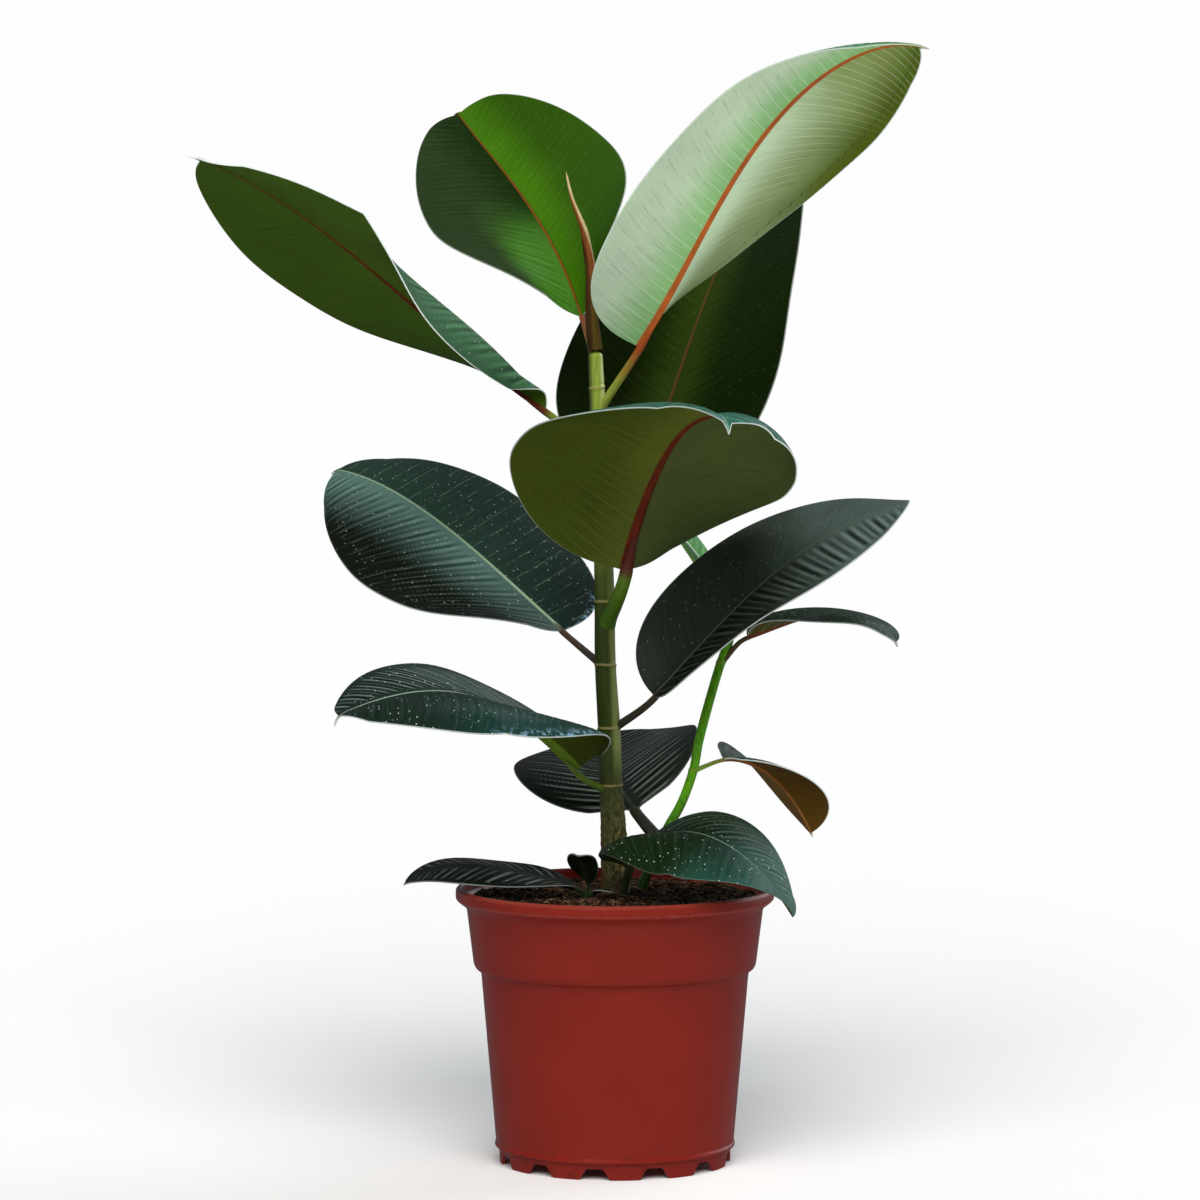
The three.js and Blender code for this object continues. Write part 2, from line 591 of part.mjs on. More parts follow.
function buildPlant() {
  const plant = new THREE.Group();
  const cleared = clearedStems();
  const buriedStalks = LEAVES.filter((leaf) => leaf.stem === 'soil')
    .map((leaf) => stalkSolid(leaf, CLEARANCE));
  plant.add(meshOf('pot', potSolid(), COLOURS.pot));
  plant.add(meshOf('soil', soilSolid([...Object.values(cleared), ...buriedStalks]), COLOURS.soil));
  for (const [name, stem] of Object.entries(STEMS)) {
    plant.add(meshOf(name, stemSolid(stem), COLOURS[name]));
  }
  plant.add(meshOf('bud_sheath', budSheathSolid(), COLOURS.bud_sheath));
  for (const leaf of LEAVES) {
    plant.add(meshOf(leaf.name, leafSolid(leaf, cleared[leaf.stem]), COLOURS.leaf));
  }
  return plant;
}

// The part's origin is the middle of its box, on the surface that it stands on.
function centred(plant) {
  const middle = new THREE.Box3().setFromObject(plant).getCenter(new THREE.Vector3());
  plant.position.set(-middle.x, -middle.y, 0);
  const part = new THREE.Group();
  part.add(plant);
  return part;
}

export default centred(buildPlant());
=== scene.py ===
# Rubber plant in a nursery pot: the visible surfaces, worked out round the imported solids.
# Shapes are computed in millimetres with the pot's axis as origin, and put in place in metres.
import json
import math

import bpy
import numpy as np
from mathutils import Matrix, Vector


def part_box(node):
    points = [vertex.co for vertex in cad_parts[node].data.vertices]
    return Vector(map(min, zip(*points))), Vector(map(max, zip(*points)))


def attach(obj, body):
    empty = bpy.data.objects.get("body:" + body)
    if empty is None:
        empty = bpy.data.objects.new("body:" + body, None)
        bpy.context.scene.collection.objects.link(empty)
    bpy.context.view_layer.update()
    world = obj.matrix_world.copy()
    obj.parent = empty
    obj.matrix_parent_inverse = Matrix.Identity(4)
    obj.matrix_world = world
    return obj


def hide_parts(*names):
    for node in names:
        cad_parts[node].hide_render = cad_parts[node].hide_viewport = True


bl_info = {
    "name": "Potted Rubber Plant",
    "version": (1, 0, 0),
    "blender": (4, 5, 0),
    "location": "3D View > Sidebar > Plant",
    "description": "Builds a rubber plant with its pot, soil, stems and leaves",
    "category": "Add Mesh",
}

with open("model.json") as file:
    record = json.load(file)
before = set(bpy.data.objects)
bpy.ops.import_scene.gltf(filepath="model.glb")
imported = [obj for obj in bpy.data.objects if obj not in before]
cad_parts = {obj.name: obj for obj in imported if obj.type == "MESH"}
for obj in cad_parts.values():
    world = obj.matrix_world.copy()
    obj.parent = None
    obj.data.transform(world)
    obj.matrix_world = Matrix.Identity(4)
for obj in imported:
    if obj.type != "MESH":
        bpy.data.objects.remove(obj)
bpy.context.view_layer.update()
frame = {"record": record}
POT_LOW, POT_HIGH = (np.array(corner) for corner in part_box("pot"))
AXIS = np.array([(POT_LOW[0] + POT_HIGH[0]) / 2, (POT_LOW[1] + POT_HIGH[1]) / 2, 0.0])
MM = 0.001

# ---- Sizes, in millimetres where nothing else is said ----------------------------------------

POT = dict(
    height=148.6, foot_radius=62, wall=1.6, ridge_height=9.6, ridge_radius=64.6,
    waist_height=101.8, waist_radius=71.8, shoulder_height=106.8, shoulder_radius=75.9,
    collar_height=138.0, collar_radius=79.7, rim_radius=85.5, rim_height=7.0, floor_height=8.6,
)
FEET = dict(count=12, gap_bottom=17.0, gap_top=8.6, gap_height=6, turn=4.8)
DRAINS = dict(count=6, radius=5.0, ring=38.0)
SOIL = dict(level=143.2, mound=2.2, reach=40.0, lump=0.9, edge=78.4, dip=0.8, dip_from=74,
            calm_from=72, calm_to=78, crumbs_within=76, flakes_within=75, fibres_within=73)

MAIN_STEM = dict(
    points=[(0.5, 0, 126), (0, 0, 150), (-0.9, 0, 182), (-2.2, 0, 204), (-3.2, 0, 235),
            (-5.1, 0, 268), (-5.6, 0, 303), (-7.5, 0, 372), (-9.4, 0, 410), (-10.6, 0, 436)],
    diameters=[18, 15.4, 13.6, 12.6, 12, 11.2, 10.8, 9.2, 8.3, 7.6],
    rings=[203, 234, 268, 302, 341, 383, 416],
)
SIDE_STEM = dict(
    points=[(10, 12, 130), (16.3, 14, 151), (28, 18, 177), (36, 22, 191), (42.7, 28, 209),
            (45.6, 31, 224), (57.4, 41, 265), (62, 43.5, 277), (67, 47, 296), (69, 48, 306)],
    diameters=[6.4, 5.6, 5.2, 5, 4.9, 5, 5, 5, 3.6, 1.4],
    rings=[171, 208.5, 266],
)
LOW_SHOOT = dict(
    points=[(-14, -13.5, 130), (-15, -14, 140), (-15, -14, 146), (-15, -14, 149)],
    diameters=[6.5, 6, 5.4, 3.4],
    rings=[143],
)
BUD_SHEATH = dict(
    points=[(-10.7, 0, 436.4), (-12.4, 0, 454), (-13, 0, 480), (-14.7, 0, 490), (-16.6, 0, 500),
            (-22.9, 0, 517), (-26.1, 0, 531)],
    diameters=[8.4, 7, 5.6, 4.9, 3.8, 2.1, 0.8],
)
BLADE = dict(thickness=0.8, keel=1.7, roundness=2.25, oval_end=0.965, base_half=0.05, tip_half=0.16,
             tip_run=0.09, curl_width=0.45, margin=0.7, midrib=3.2, groove=0.3, ripple=0.35)
RIBBING = dict(pitch=5.4, second_pitch=8.3, narrowness=1.8, sweep=0.42, bend=0.6)

# Where each mark on a surface begins and where it is full. Heights are in metres above the ground,
# and sides are in metres from the pot's axis or, where the stem leans, from its own middle line.
# On the pot, the lip and the rim's edge get a painted highlight.
POT_MARKS = dict(rim_soil=(0.138, 0.143), smear=(0.146, 0.1475), lip_highlight=(0.1462, 0.148),
                 rim_highlight_height=0.1424, stained_foot=(0.03, 0.006))
# On the bark, the shade side gets painted shade, the highlight side a painted highlight and the lit
# band painted light, down the stem's left and right sides.
BARK_MARKS = dict(
    young=(0.29, 0.39), olive=(0.19, 0.27), cork=(0.225, 0.165), cork_lit_side=(-0.005, 0.006),
    foot=(0.158, 0.146), rust=(0.2, 0.15), rust_side=(-0.0052, -0.0078), upper=(0.35, 0.38),
    shade_side=(-0.0012, -0.004), highlight_side=(0.0012, 0.0036), lit_band=(0.2, 0.23),
    lit_band_end=(0.33, 0.3), lit_band_side=(0.0004, 0.0034), matt=(0.36, 0.2), ring=(0.0009, 0.0003))
BARK_LEAN = dict(base=0.15, slope=0.036)
# The green stems darken at the foot: partly their own colour and partly painted shade under the
# leaves.
GREEN_STEM_MARKS = dict(foot=(0.2, 0.165), ring=(0.0011, 0.0003))
# On the bud sheath, the pale marks are a painted highlight along its right side and the dark ones
# painted shade along its left.
SHEATH_MARKS = dict(red=(0.445, 0.5), bend=(0.48, 0.535), cream_highlight=(0.465, 0.5),
                    sheath_highlight_side=(-0.0098, -0.0084), sheath_shade_side=(-0.0108, -0.0128))
SHEATH_LEAN = dict(base=0.44, slope=0.05, bend=0.0135)

# Marks on a blade, in metres: the pitch and width of each set of lines along the side veins, the
# midrib's half width above and below, the painted highlight along the rim, and the scalloped line
# along the margin.
BLADE_MARKS = dict(
    thin_lines=(0.0105, 0.00024), pale_lines=(0.0068, 0.00042), dark_lines=(0.0084, 0.00026),
    rib_above=0.0010, rib_below=0.0026, rim=(0.0007, 0.0004), scallop=0.003, hem_inset=0.0045)

# The camera's place in millimetres from the pot's axis, its tilt below level in degrees and its
# film's width. Each distant light: the compass angle that it comes from, 0 from the right and -90
# from the front, its height in degrees above level, its strength beside the main light's, how many
# degrees it is across, and its colour.
CAMERA = dict(place=(-8.0, -2800, 501), tilt=4.05, film=36, reach=100)
LIGHTS = dict(
    key_light=(-92, 46, 1.0, 50, (1.0, 0.98, 0.95)), window=(40, 26, 0.35, 60, (0.86, 0.95, 1.0)),
    strip_light=(-112, 20, 0.06, 18, (1.0, 1.0, 1.0)))
ROOM = dict(light=0.17, tint=(0.9, 0.95, 1.0), backdrop=(0.985, 0.985, 0.985))
FLOOR_RINGS = (0.3, 1, 3, 8, 30)

# Each leaf as in the solids: the stalk's joint on the stem and its thickness, the blade's base and
# size, and its run at base, middle and tip in degrees. Two bases stand off the solids' own, so that
# the finer surfaces stay within the solids' box: leaf_front's is 1.7 mm further back, and
# leaf_top_right's 0.3 mm lower. Ridges are the height in millimetres of the ribbing between the side
# veins, on the left half and on the right half, and sweep is the cotangent of the angle at which
# those veins leave the midrib. A hook is where the tip starts to turn, and how far. A flap is one
# half's extra curl at the base, in degrees, and where along the blade it has faded. The oval end is
# where the outline's oval closes, and point and tip_point are its powers before and past its middle.
LEAVES = {
    "leaf_top_right": dict(
        joint=(-9.2, 0, 403), stalk=4.6, base=(13, -12, 438.7), length=255, width=117, widest=0.4,
        point=0.6, heading=(-46, -25, -55), rise=(48, 52, -17), roll=(-7, -20, -23),
        left_fold=(50, 0, -15), right_fold=(25, 5, -20), left_curl=(-10, -20, -45),
        right_curl=(-5, -15, -35), ridges=(0.1, 0.06), sweep=(0.5, 0.25), look="pale_underside"),
    "leaf_top_back": dict(
        joint=(-10.5, 0, 431), stalk=4.2, base=(-18, 17, 454), length=215, width=114, widest=0.4,
        point=0.6, heading=(111, 115, 111), rise=(49, 30, 26), roll=(-48, -30, -20),
        left_fold=(65, 25, 12), right_fold=(30, 20, 32), left_curl=(30, -30, 10),
        right_curl=(30, -20, 30), ridges=(0.12, 0.05), hook=(0.94, -50), look="fresh_green"),
    "leaf_top_left": dict(
        joint=(-8.2, 0, 380), stalk=4.6, base=(-37, -12, 405), length=240, width=110, widest=0.56,
        point=0.6, heading=(183, 199, 213), rise=(34, 39, 16), roll=(34, 32, 13),
        left_fold=(85, -10, -25), right_fold=(40, 0, 0), left_curl=(-75, -5, 30),
        right_curl=(30, 5, 5), flap=("left", -190, 0.65), ridges=(0.05, 0.05), hook=(0.95, -20),
        look="olive_underside"),
    "leaf_upper_back": dict(
        joint=(-6.4, 0, 337), stalk=4.8, base=(14, 34, 360), length=246, width=139, widest=0.46,
        point=0.55, heading=(75, 54, 52), rise=(38, 57, 31), roll=(8, 3, -7), left_fold=(20, 10, 5),
        right_fold=(20, 15, 15), left_curl=(-10, -10, -15), right_curl=(-20, 0, 0),
        ridges=(0.2, 0.16), look="shaded_green"),
    "leaf_front": dict(
        joint=(-4.9, 0, 289), stalk=8.2, base=(5, -26.3, 321), length=188, width=159, widest=0.46,
        point=0.5, heading=(-54, -73, -64), rise=(71, 27, 0), roll=(-5, 4, -9),
        left_fold=(10, 30, 5), right_fold=(25, 15, 30), left_curl=(30, -110, -30),
        right_curl=(10, -10, -60), ridges=(0.06, 0.04), hook=(0.87, -85), look="moss_underside"),
    "leaf_middle_left": dict(
        joint=(-5, 0, 266), stalk=4.0, base=(-28, 8, 286), length=197, width=116, widest=0.42,
        point=0.55, heading=(139, 141, 126), rise=(32, 29, 0), roll=(-16, -25, -33),
        left_fold=(15, -10, 5), right_fold=(0, -5, 0), left_curl=(20, -10, -35),
        right_curl=(-5, -10, -35), ridges=(0.34, 0.06), hook=(0.94, -40), sweep=(0.5, 0.12),
        look="dusty_teal"),
    "leaf_middle_right": dict(
        joint=(-2.9, 0, 232), stalk=4.4, base=(21, -8, 252), length=179, width=86, widest=0.43,
        point=0.6, heading=(-2, -24, -4), rise=(48, 40, 15), roll=(37, 36, 25),
        left_fold=(45, 20, -15), right_fold=(30, 10, -20), left_curl=(-5, -5, -5),
        right_curl=(-5, -10, -15), ridges=(0.03, 0.36), oval_end=1, tip_point=0.78,
        look="ribbed_black"),
    "leaf_lower_left": dict(
        joint=(-2, 0, 199), stalk=4.4, base=(-20, -10, 212), length=184, width=91, widest=0.38,
        point=0.4, heading=(212, 228, 197), rise=(44, 14, -26), roll=(2, -2, -1),
        left_fold=(90, 0, 20), right_fold=(45, 20, 10), left_curl=(-15, -40, -45),
        right_curl=(-15, -5, -15), flap=("left", -80, 0.55), ridges=(0.1, 0.38), hook=(0.93, -60),
        look="wet_teal"),
    "leaf_side_back": dict(
        joint=(25, 17, 170), stalk=7.0, base=(11, 24, 188), length=129, width=106, widest=0.53,
        point=0.6, heading=(112, 95, 85), rise=(25, 9, 24), roll=(-10, -7, -8),
        left_fold=(5, 15, 5), right_fold=(20, 20, 10), left_curl=(-35, -20, -20),
        right_curl=(-25, -5, -15), ridges=(0.36, 0.36), look="side_ribbed"),
    "leaf_side_right": dict(
        joint=(57.6, 41, 265.5), stalk=3.2, base=(72, 42, 280), length=93, width=47, widest=0.5,
        point=0.6, heading=(11, 1, -42), rise=(17, 5, -63), roll=(-2, -3, -7),
        left_fold=(40, 5, 10), right_fold=(50, 0, 15), left_curl=(-10, 0, -5),
        right_curl=(-10, -25, -15), ridges=(0.08, 0.08), look="side_teal"),
    "leaf_side_drooping": dict(
        joint=(42.6, 28, 208), stalk=2.6, base=(59, 34, 214), length=74, width=53, widest=0.47,
        point=0.55, heading=(38, 15, 11), rise=(3, -44, -65), roll=(-1, -32, -41),
        left_fold=(55, 30, 45), right_fold=(15, 0, 30), left_curl=(-25, 0, 0),
        right_curl=(-25, -25, 15), ridges=(0.05, 0.05), look="brown_underside"),
    "leaf_side_young": dict(
        joint=(66.4, 46.5, 293), stalk=3.0, base=(55, 50, 303), length=72, width=30, widest=0.48,
        point=0.6, heading=(165, 165, 165), rise=(58, 52, 40), roll=(0, 0, 0),
        left_fold=(40, 25, 15), right_fold=(40, 25, 15), left_curl=(-10, -10, -10),
        right_curl=(-10, -10, -10), ridges=(0.05, 0.05), look="young_green"),
    "leaf_low_right": dict(
        joint=(1, -13, 131), stalk=5.0, base=(7, -16, 160), length=130, width=84, widest=0.4,
        point=0.55, heading=(-49, -33, -41), rise=(63, -15, -52), roll=(-2, 6, -12),
        left_fold=(35, 10, 5), right_fold=(80, 0, 40), left_curl=(-25, -25, -25),
        right_curl=(-15, -35, -10), flap=("right", -100, 0.5), ridges=(0.36, 0.1), oval_end=1,
        tip_point=0.78, look="low_teal"),
    "leaf_low_left": dict(
        joint=(-15, -14, 145.5), stalk=3.2, base=(-21, -15, 150), length=97, width=48, widest=0.53,
        point=0.65, heading=(194, 176, 174), rise=(15, 7, -40), roll=(-12, -9, -14),
        left_fold=(25, 0, 10), right_fold=(25, -5, 10), left_curl=(-10, -20, -5),
        right_curl=(-10, -5, -5), ridges=(0.3, 0.25), oval_end=0.99, tip_point=0.75,
        look="blackish_green"),
    "leaf_low_round": dict(
        joint=(-15, -14, 147), stalk=2.4, base=(-14, -13, 152), length=31, width=17, widest=0.48,
        point=0.65, heading=(-115, -102, -95), rise=(35, 42, 12), roll=(-4, 1, -3),
        left_fold=(30, 25, 15), right_fold=(35, 20, 25), left_curl=(-5, 0, 0),
        right_curl=(0, 0, 10), ridges=(0.05, 0.05), look="blackish_green"),
    "leaf_low_sprout": dict(
        joint=(-14.8, -14.3, 144.8), stalk=2.0, base=(-11.5, -18, 147), length=15, width=8,
        widest=0.5, point=0.6, heading=(-50, -45, -40), rise=(30, 10, -20), roll=(0, 0, 0),
        left_fold=(20, 10, 5), right_fold=(20, 10, 5), left_curl=(-10, -10, -10),
        right_curl=(-10, -10, -10), ridges=(0.03, 0.03), look="blackish_green"),
}


def paint(code):
    """A colour written as six hex digits, as the linear colour that a shader takes."""
    parts = [int(code[i:i + 2], 16) / 255 for i in (0, 2, 4)]
    return tuple(p / 12.92 if p <= 0.04045 else ((p + 0.055) / 1.055) ** 2.4 for p in parts)


# What a leaf's finish is made of, where it says nothing else. Each face has a colour by the midrib
# and one out on the blade, for its left half and then for its right half, and near is how far out,
# in metres, the second has taken over; where the halves differ, these tones are partly the leaf's
# own colour and partly painted light. A stalk has a colour at its joint and one by the blade. Vein
# and dark_vein are the colours of the lines along the side veins, lines and under_lines how strong
# these are above and below, and hem how strong the scalloped line along the margin is. Dust is how
# strong the pale specks are, and streaks and grain how uneven the tone is above and below. The rim
# highlights are how strong the painted highlight is along the left and the right margin, the furrow
# shading how much painted shade darkens the furrows between the ridges, and crests how strong the
# painted highlight along the ridges is, in the crest highlight's colour. Dim_base is how much darker
# the base is above.
# Four tones name a side first: the left half (1), the right half (-1), both (2) or none (0). Base
# takes over by the midrib at the base above, tip towards the tip above, tip_below towards the tip
# below, and fringe along the margin below, for that width; some looks use the tip's tone as a
# painted sheen. The margin sheen is a painted bluish sheen along one margin above, up to that share
# of the length and for that width.
PLAIN_LOOK = dict(
    lower=("343c14", "343c14", "343c14", "343c14"), near=0.03, rib_upper="4c5c48",
    rib_lower="6a3a20", rib_width=1.0, vein="9cc0b4", dark_vein="1a200c", lines=0.3,
    under_lines=0.25, hem=0.0, dust=0.3, streaks=0.4, grain=0.3, rim_highlights=(0.35, 0.35), furrow_shading=0.5,
    crests=0.0, crest_highlight="8a9a94", dim_base=0.0, base=(0, "3f6c20"), tip=(0, "5f7472"),
    tip_below=(0, "5f7472"), fringe=(0, "7a8838", 0.01), margin_sheen=(0, 0.0, 0.0), rough=0.45, gloss=0.12)

LOOKS = {
    # Its very pale underside is partly the leaf's own paler colour and partly painted light.
    "pale_underside": dict(
        upper=("3c7020", "3a6a44", "3c7020", "5a8a6a"),
        lower=("daf4cc", "9aac78", "94ca82", "cfe4c4"), rib_upper="8a5a34", rib_lower="b8541e",
        rib_width=1.1, stalk=("8d9a3a", "b0601e"), vein="e6f2d0", dark_vein="3c5028", lines=0.5,
        under_lines=0.42, hem=0.7, dust=0.05, grain=0.36, near=0.034, rim_highlights=(0.9, 0.4),
        tip_below=(1, "8c9c58"), fringe=(1, "586a1a", 0.03)),
    # Its right half's brighter green is partly the leaf's own colour and partly painted light.
    "fresh_green": dict(
        upper=("142a04", "26381a", "407208", "2c5006"),
        lower=("5a8a2a", "4a7a2a", "5a8a2a", "4a7a2a"), rib_upper="84461e", rib_lower="9a5a30",
        rib_width=0.85, stalk=("8a6a3a", "8a4a30"), vein="6c9a4a", lines=0.06, dust=0.08,
        streaks=0.45, furrow_shading=0.2, base=(1, "447a24")),
    "young_green": dict(
        upper=("4a8a3a", "5a9a6a", "4a8a3a", "5a9a6a"),
        lower=("5a9a4a", "8ab8a4", "5a9a4a", "9ac4b8"), rib_upper="7cae6a", rib_lower="8aae5a",
        stalk=("6a9a3a", "7aa04a"), vein="9cc0a0", lines=0.3, under_lines=0.3, streaks=0.6,
        rim_highlights=(0.7, 0.7), rough=0.3, gloss=0.3),
    "olive_underside": dict(
        upper=("3c6244", "42694a", "3c6244", "42694a"),
        lower=("3a520a", "3a5409", "36500a", "324a08"), rib_upper="6f9a72", rib_lower="58180a",
        rib_width=0.6, stalk=("74922a", "7c8a2c"), vein="3c5418", dark_vein="1c2a04", lines=0.25,
        under_lines=0.5, hem=0.25, dust=0.6, streaks=0.3, rim_highlights=(1.0, 0.3)),
    "shaded_green": dict(
        upper=("2a3a0c", "121e04", "2a3a0c", "142206"), rib_upper="5a3c24",
        stalk=("4a5a24", "6a4a2a"), vein="55704a", lines=0.06, dust=0.08, streaks=0.5, furrow_shading=0.15),
    "moss_underside": dict(
        upper=("2f6254", "2a5648", "2f6254", "2a5648"),
        lower=("545e34", "4e5c2e", "525a1c", "404c10"), rib_upper="8ab09a", rib_lower="5c1c10",
        rib_width=1.35, stalk=("44680c", "5f7f18"), vein="57632c", dark_vein="1a2206", lines=0.45,
        under_lines=0.8, hem=0.2, dust=0.5, streaks=0.2, rim_highlights=(0.8, 0.45)),
    # Its pale teal by the midrib on the left half is partly the leaf's own colour and partly painted
    # sheen.
    "dusty_teal": dict(
        upper=("54726a", "12160f", "22382e", "1b2e26"), rib_upper="94b090", rib_lower="4c3828",
        stalk=("3c3228", "4a3626"), vein="a4c0a8", lines=0.32, dust=0.6, streaks=0.35, near=0.036,
        furrow_shading=0.6, crests=0.1, margin_sheen=(-1, 0.12, 0.010), dim_base=0.55),
    # This look's tip tone is a painted sheen towards the tip.
    "ribbed_black": dict(
        upper=("222a22", "282e26", "22281e", "1a2016"), rib_upper="4c584c", rib_width=0.8,
        stalk=("2c2a20", "3a2c20"), rib_lower="3c2e22", vein="5c6a62", lines=0.05, dust=0.2,
        streaks=0.35, rim_highlights=(0.2, 0.5), furrow_shading=0.85, crests=0.35, crest_highlight="58625c", tip=(2, "46534f")),
    "side_ribbed": dict(
        upper=("161e14", "181f16", "262c26", "2c322c"), rib_upper="3c463c", rib_width=0.8,
        stalk=("2c2a20", "2e2c20"), rib_lower="2e2c20", vein="7c8a82", lines=0.05, dust=0.1,
        streaks=0.4, rim_highlights=(0.2, 0.2), furrow_shading=0.9, crests=0.85, crest_highlight="7c827c"),
    "wet_teal": dict(
        upper=("12241c", "193a34", "26382e", "24342c"),
        lower=("3a4410", "333c10", "3a4410", "333c10"), rib_upper="a4c0ac", rib_lower="5a7420",
        rib_width=1.3, stalk=("4f6a1c", "5c7a20"), lines=0.12, under_lines=0.0, dust=1.0,
        streaks=0.3, rim_highlights=(0.55, 0.25), furrow_shading=0.95, crests=0.6, crest_highlight="7c8c86",
        margin_sheen=(1, 0.65, 0.008), tip=(2, "18261f")),
    "side_teal": dict(
        upper=("152c18", "132a18", "152c18", "132a18"),
        lower=("4a4416", "4a4416", "4a4416", "4a4416"), rib_upper="6f9482", rib_width=0.7,
        stalk=("5c4a24", "5a4426"), dust=0.9, rim_highlights=(0.5, 0.5)),
    # This look's tip tone is a painted sheen towards the tip.
    "low_teal": dict(
        upper=("101e0e", "16260f", "0f1c0c", "14240f"), rib_upper="6a8a74", rib_width=0.7,
        rib_lower="3c4a1c", stalk=("1e2814", "3c4a1c"), lines=0.08, dust=0.9, rim_highlights=(0.1, 0.06),
        furrow_shading=0.6, crests=0.3, crest_highlight="5a7a68", tip=(2, "264c42")),
    "blackish_green": dict(
        upper=("101610", "0e140e", "121810", "101610"), rib_upper="3c463c", rib_width=0.8,
        lower=("1a2012", "1a2012", "1a2012", "1a2012"), rib_lower="2a3020", under_lines=0.1,
        stalk=("1e2814", "2c3218"), vein="6c7a70", lines=0.2, dust=0.3, rim_highlights=(0.25, 0.3), furrow_shading=0.7,
        crests=0.6, crest_highlight="747e78"),
    "brown_underside": dict(
        upper=("3c5044", "34463c", "3c5044", "34463c"),
        lower=("725416", "6c4e14", "543c10", "4a340e"), rib_upper="7a8a5a", rib_lower="8a5a2c",
        stalk=("7aa02e", "8a8a2e"), vein="6a5424", under_lines=0.2, streaks=0.25, rim_highlights=(0.6, 0.9)),
}

# ---- Numpy surfaces --------------------------------------------------------------------------


def bell(distance, width):
    """One at distance 0, falling off as the normal curve does over the width."""
    return np.exp(-(distance / width) ** 2)


def ease(value, low, high):
    """Smooth step from 0 at low to 1 at high."""
    x = np.clip((value - low) / (high - low), 0, 1)
    return x * x * (3 - 2 * x)


def ripples(seed, x, y, z, pitch, count=14):
    """An uneven field between about -1 and 1: a sum of sine waves of that many random directions,
    with wavelengths from half to twice the pitch."""
    rng = np.random.default_rng(seed)
    total = np.zeros(np.broadcast(x, y, z).shape)
    for _ in range(count):
        direction = rng.normal(size=3)
        direction *= 2 * np.pi / (pitch * rng.uniform(0.5, 2) * np.linalg.norm(direction))
        phase = rng.uniform(0, 2 * np.pi)
        total += np.sin(direction[0] * x + direction[1] * y + direction[2] * z + phase)
    return total / np.sqrt(count)


def smooth_path(points, count):
    """A centripetal curve through the points: cubic pieces whose knots are spaced by the square
    root of the chords, with each tangent weighed by the two chords beside it."""
    p = np.array(points, float)
    p = np.vstack([2 * p[0] - p[1], p, 2 * p[-1] - p[-2]])
    gap = np.sqrt(np.linalg.norm(np.diff(p, axis=0), axis=1))[:, None]
    tangent = ((p[1:-1] - p[:-2]) / gap[:-1] - (p[2:] - p[:-2]) / (gap[:-1] + gap[1:])
               + (p[2:] - p[1:-1]) / gap[1:])
    place = np.linspace(0, len(points) - 1, count)
    i = np.minimum(place.astype(int), len(points) - 2)
    u = (place - i)[:, None]
    span = gap[1:-1][i]
    a, b = p[1:-1][i], p[1:-1][i + 1]
    curve = (a * (1 + 2 * u) * (1 - u) ** 2 + tangent[i] * span * u * (1 - u) ** 2
             + b * u * u * (3 - 2 * u) + tangent[i + 1] * span * u * u * (u - 1))
    return curve, place


def turns(count):
    """That many angles, evenly spaced once round."""
    return 2 * np.pi * np.arange(count) / count


def circles(radius, height, angle):
    """Points at that radius, height and angle round the upright axis."""
    x = radius * np.cos(angle)
    return np.stack([x, radius * np.sin(angle), height + 0 * x], -1)


def rings_along(path, radius, reference):
    """Rings round a path: centre plus radius times the cosine of the angle across and the sine of it
    up, where across is the reference made square to the path. Radius is rows by sides."""
    tangent = np.gradient(path, axis=0)
    tangent /= np.linalg.norm(tangent, axis=1, keepdims=True)
    across = reference - tangent * (tangent @ reference)[:, None]
    across /= np.linalg.norm(across, axis=1, keepdims=True)
    up = np.cross(tangent, across)
    angle = turns(radius.shape[1])[:, None]
    around = across[:, None] * np.cos(angle) + up[:, None] * np.sin(angle)
    return path[:, None] + radius[..., None] * around


def ring_quads(rows, sides):
    """The quads between neighbouring rings of points."""
    i, j = np.arange(rows - 1)[:, None] * sides, np.arange(sides)[None]
    k = (j + 1) % sides
    return np.stack([i + j, i + k, i + sides + k, i + sides + j], -1).reshape(-1, 4)


def fan(centre, start, sides):
    """The triangles between a centre point and the ring of points that begins at start."""
    j = np.arange(sides)
    return np.stack([np.full(sides, centre), start + j, start + (j + 1) % sides], -1)


def close_rings(rings, start, end):
    """Rings joined into one closed skin with a point at each end: its points, then its faces."""
    rows, sides = rings.shape[:2]
    points = np.vstack([rings.reshape(-1, 3), start, end])
    first = fan(rows * sides, 0, sides)[:, [0, 2, 1]]
    final = fan(rows * sides + 1, (rows - 1) * sides, sides)
    return points, [ring_quads(rows, sides), np.vstack([first, final])]


def copies(points, faces, place, turn, size):
    """Many copies of one small shape: its points times each size, turned and moved to each place."""
    many = np.einsum("nij,npj->npi", turn, points[None] * size[:, None]) + place[:, None]
    shift = np.arange(len(place))[:, None, None] * len(points)
    return many.reshape(-1, 3), [(faces[None] + shift).reshape(-1, faces.shape[1])]


def random_turns(rng, count):
    """Random rotation matrices, each from a random unit quaternion."""
    q = rng.normal(size=(count, 4))
    w, x, y, z = (q / np.linalg.norm(q, axis=1, keepdims=True)).T
    return np.stack([
        1 - 2 * (y * y + z * z), 2 * (x * y - z * w), 2 * (x * z + y * w),
        2 * (x * y + z * w), 1 - 2 * (x * x + z * z), 2 * (y * z - x * w),
        2 * (x * z - y * w), 2 * (y * z + x * w), 1 - 2 * (x * x + y * y),
    ], -1).reshape(-1, 3, 3)


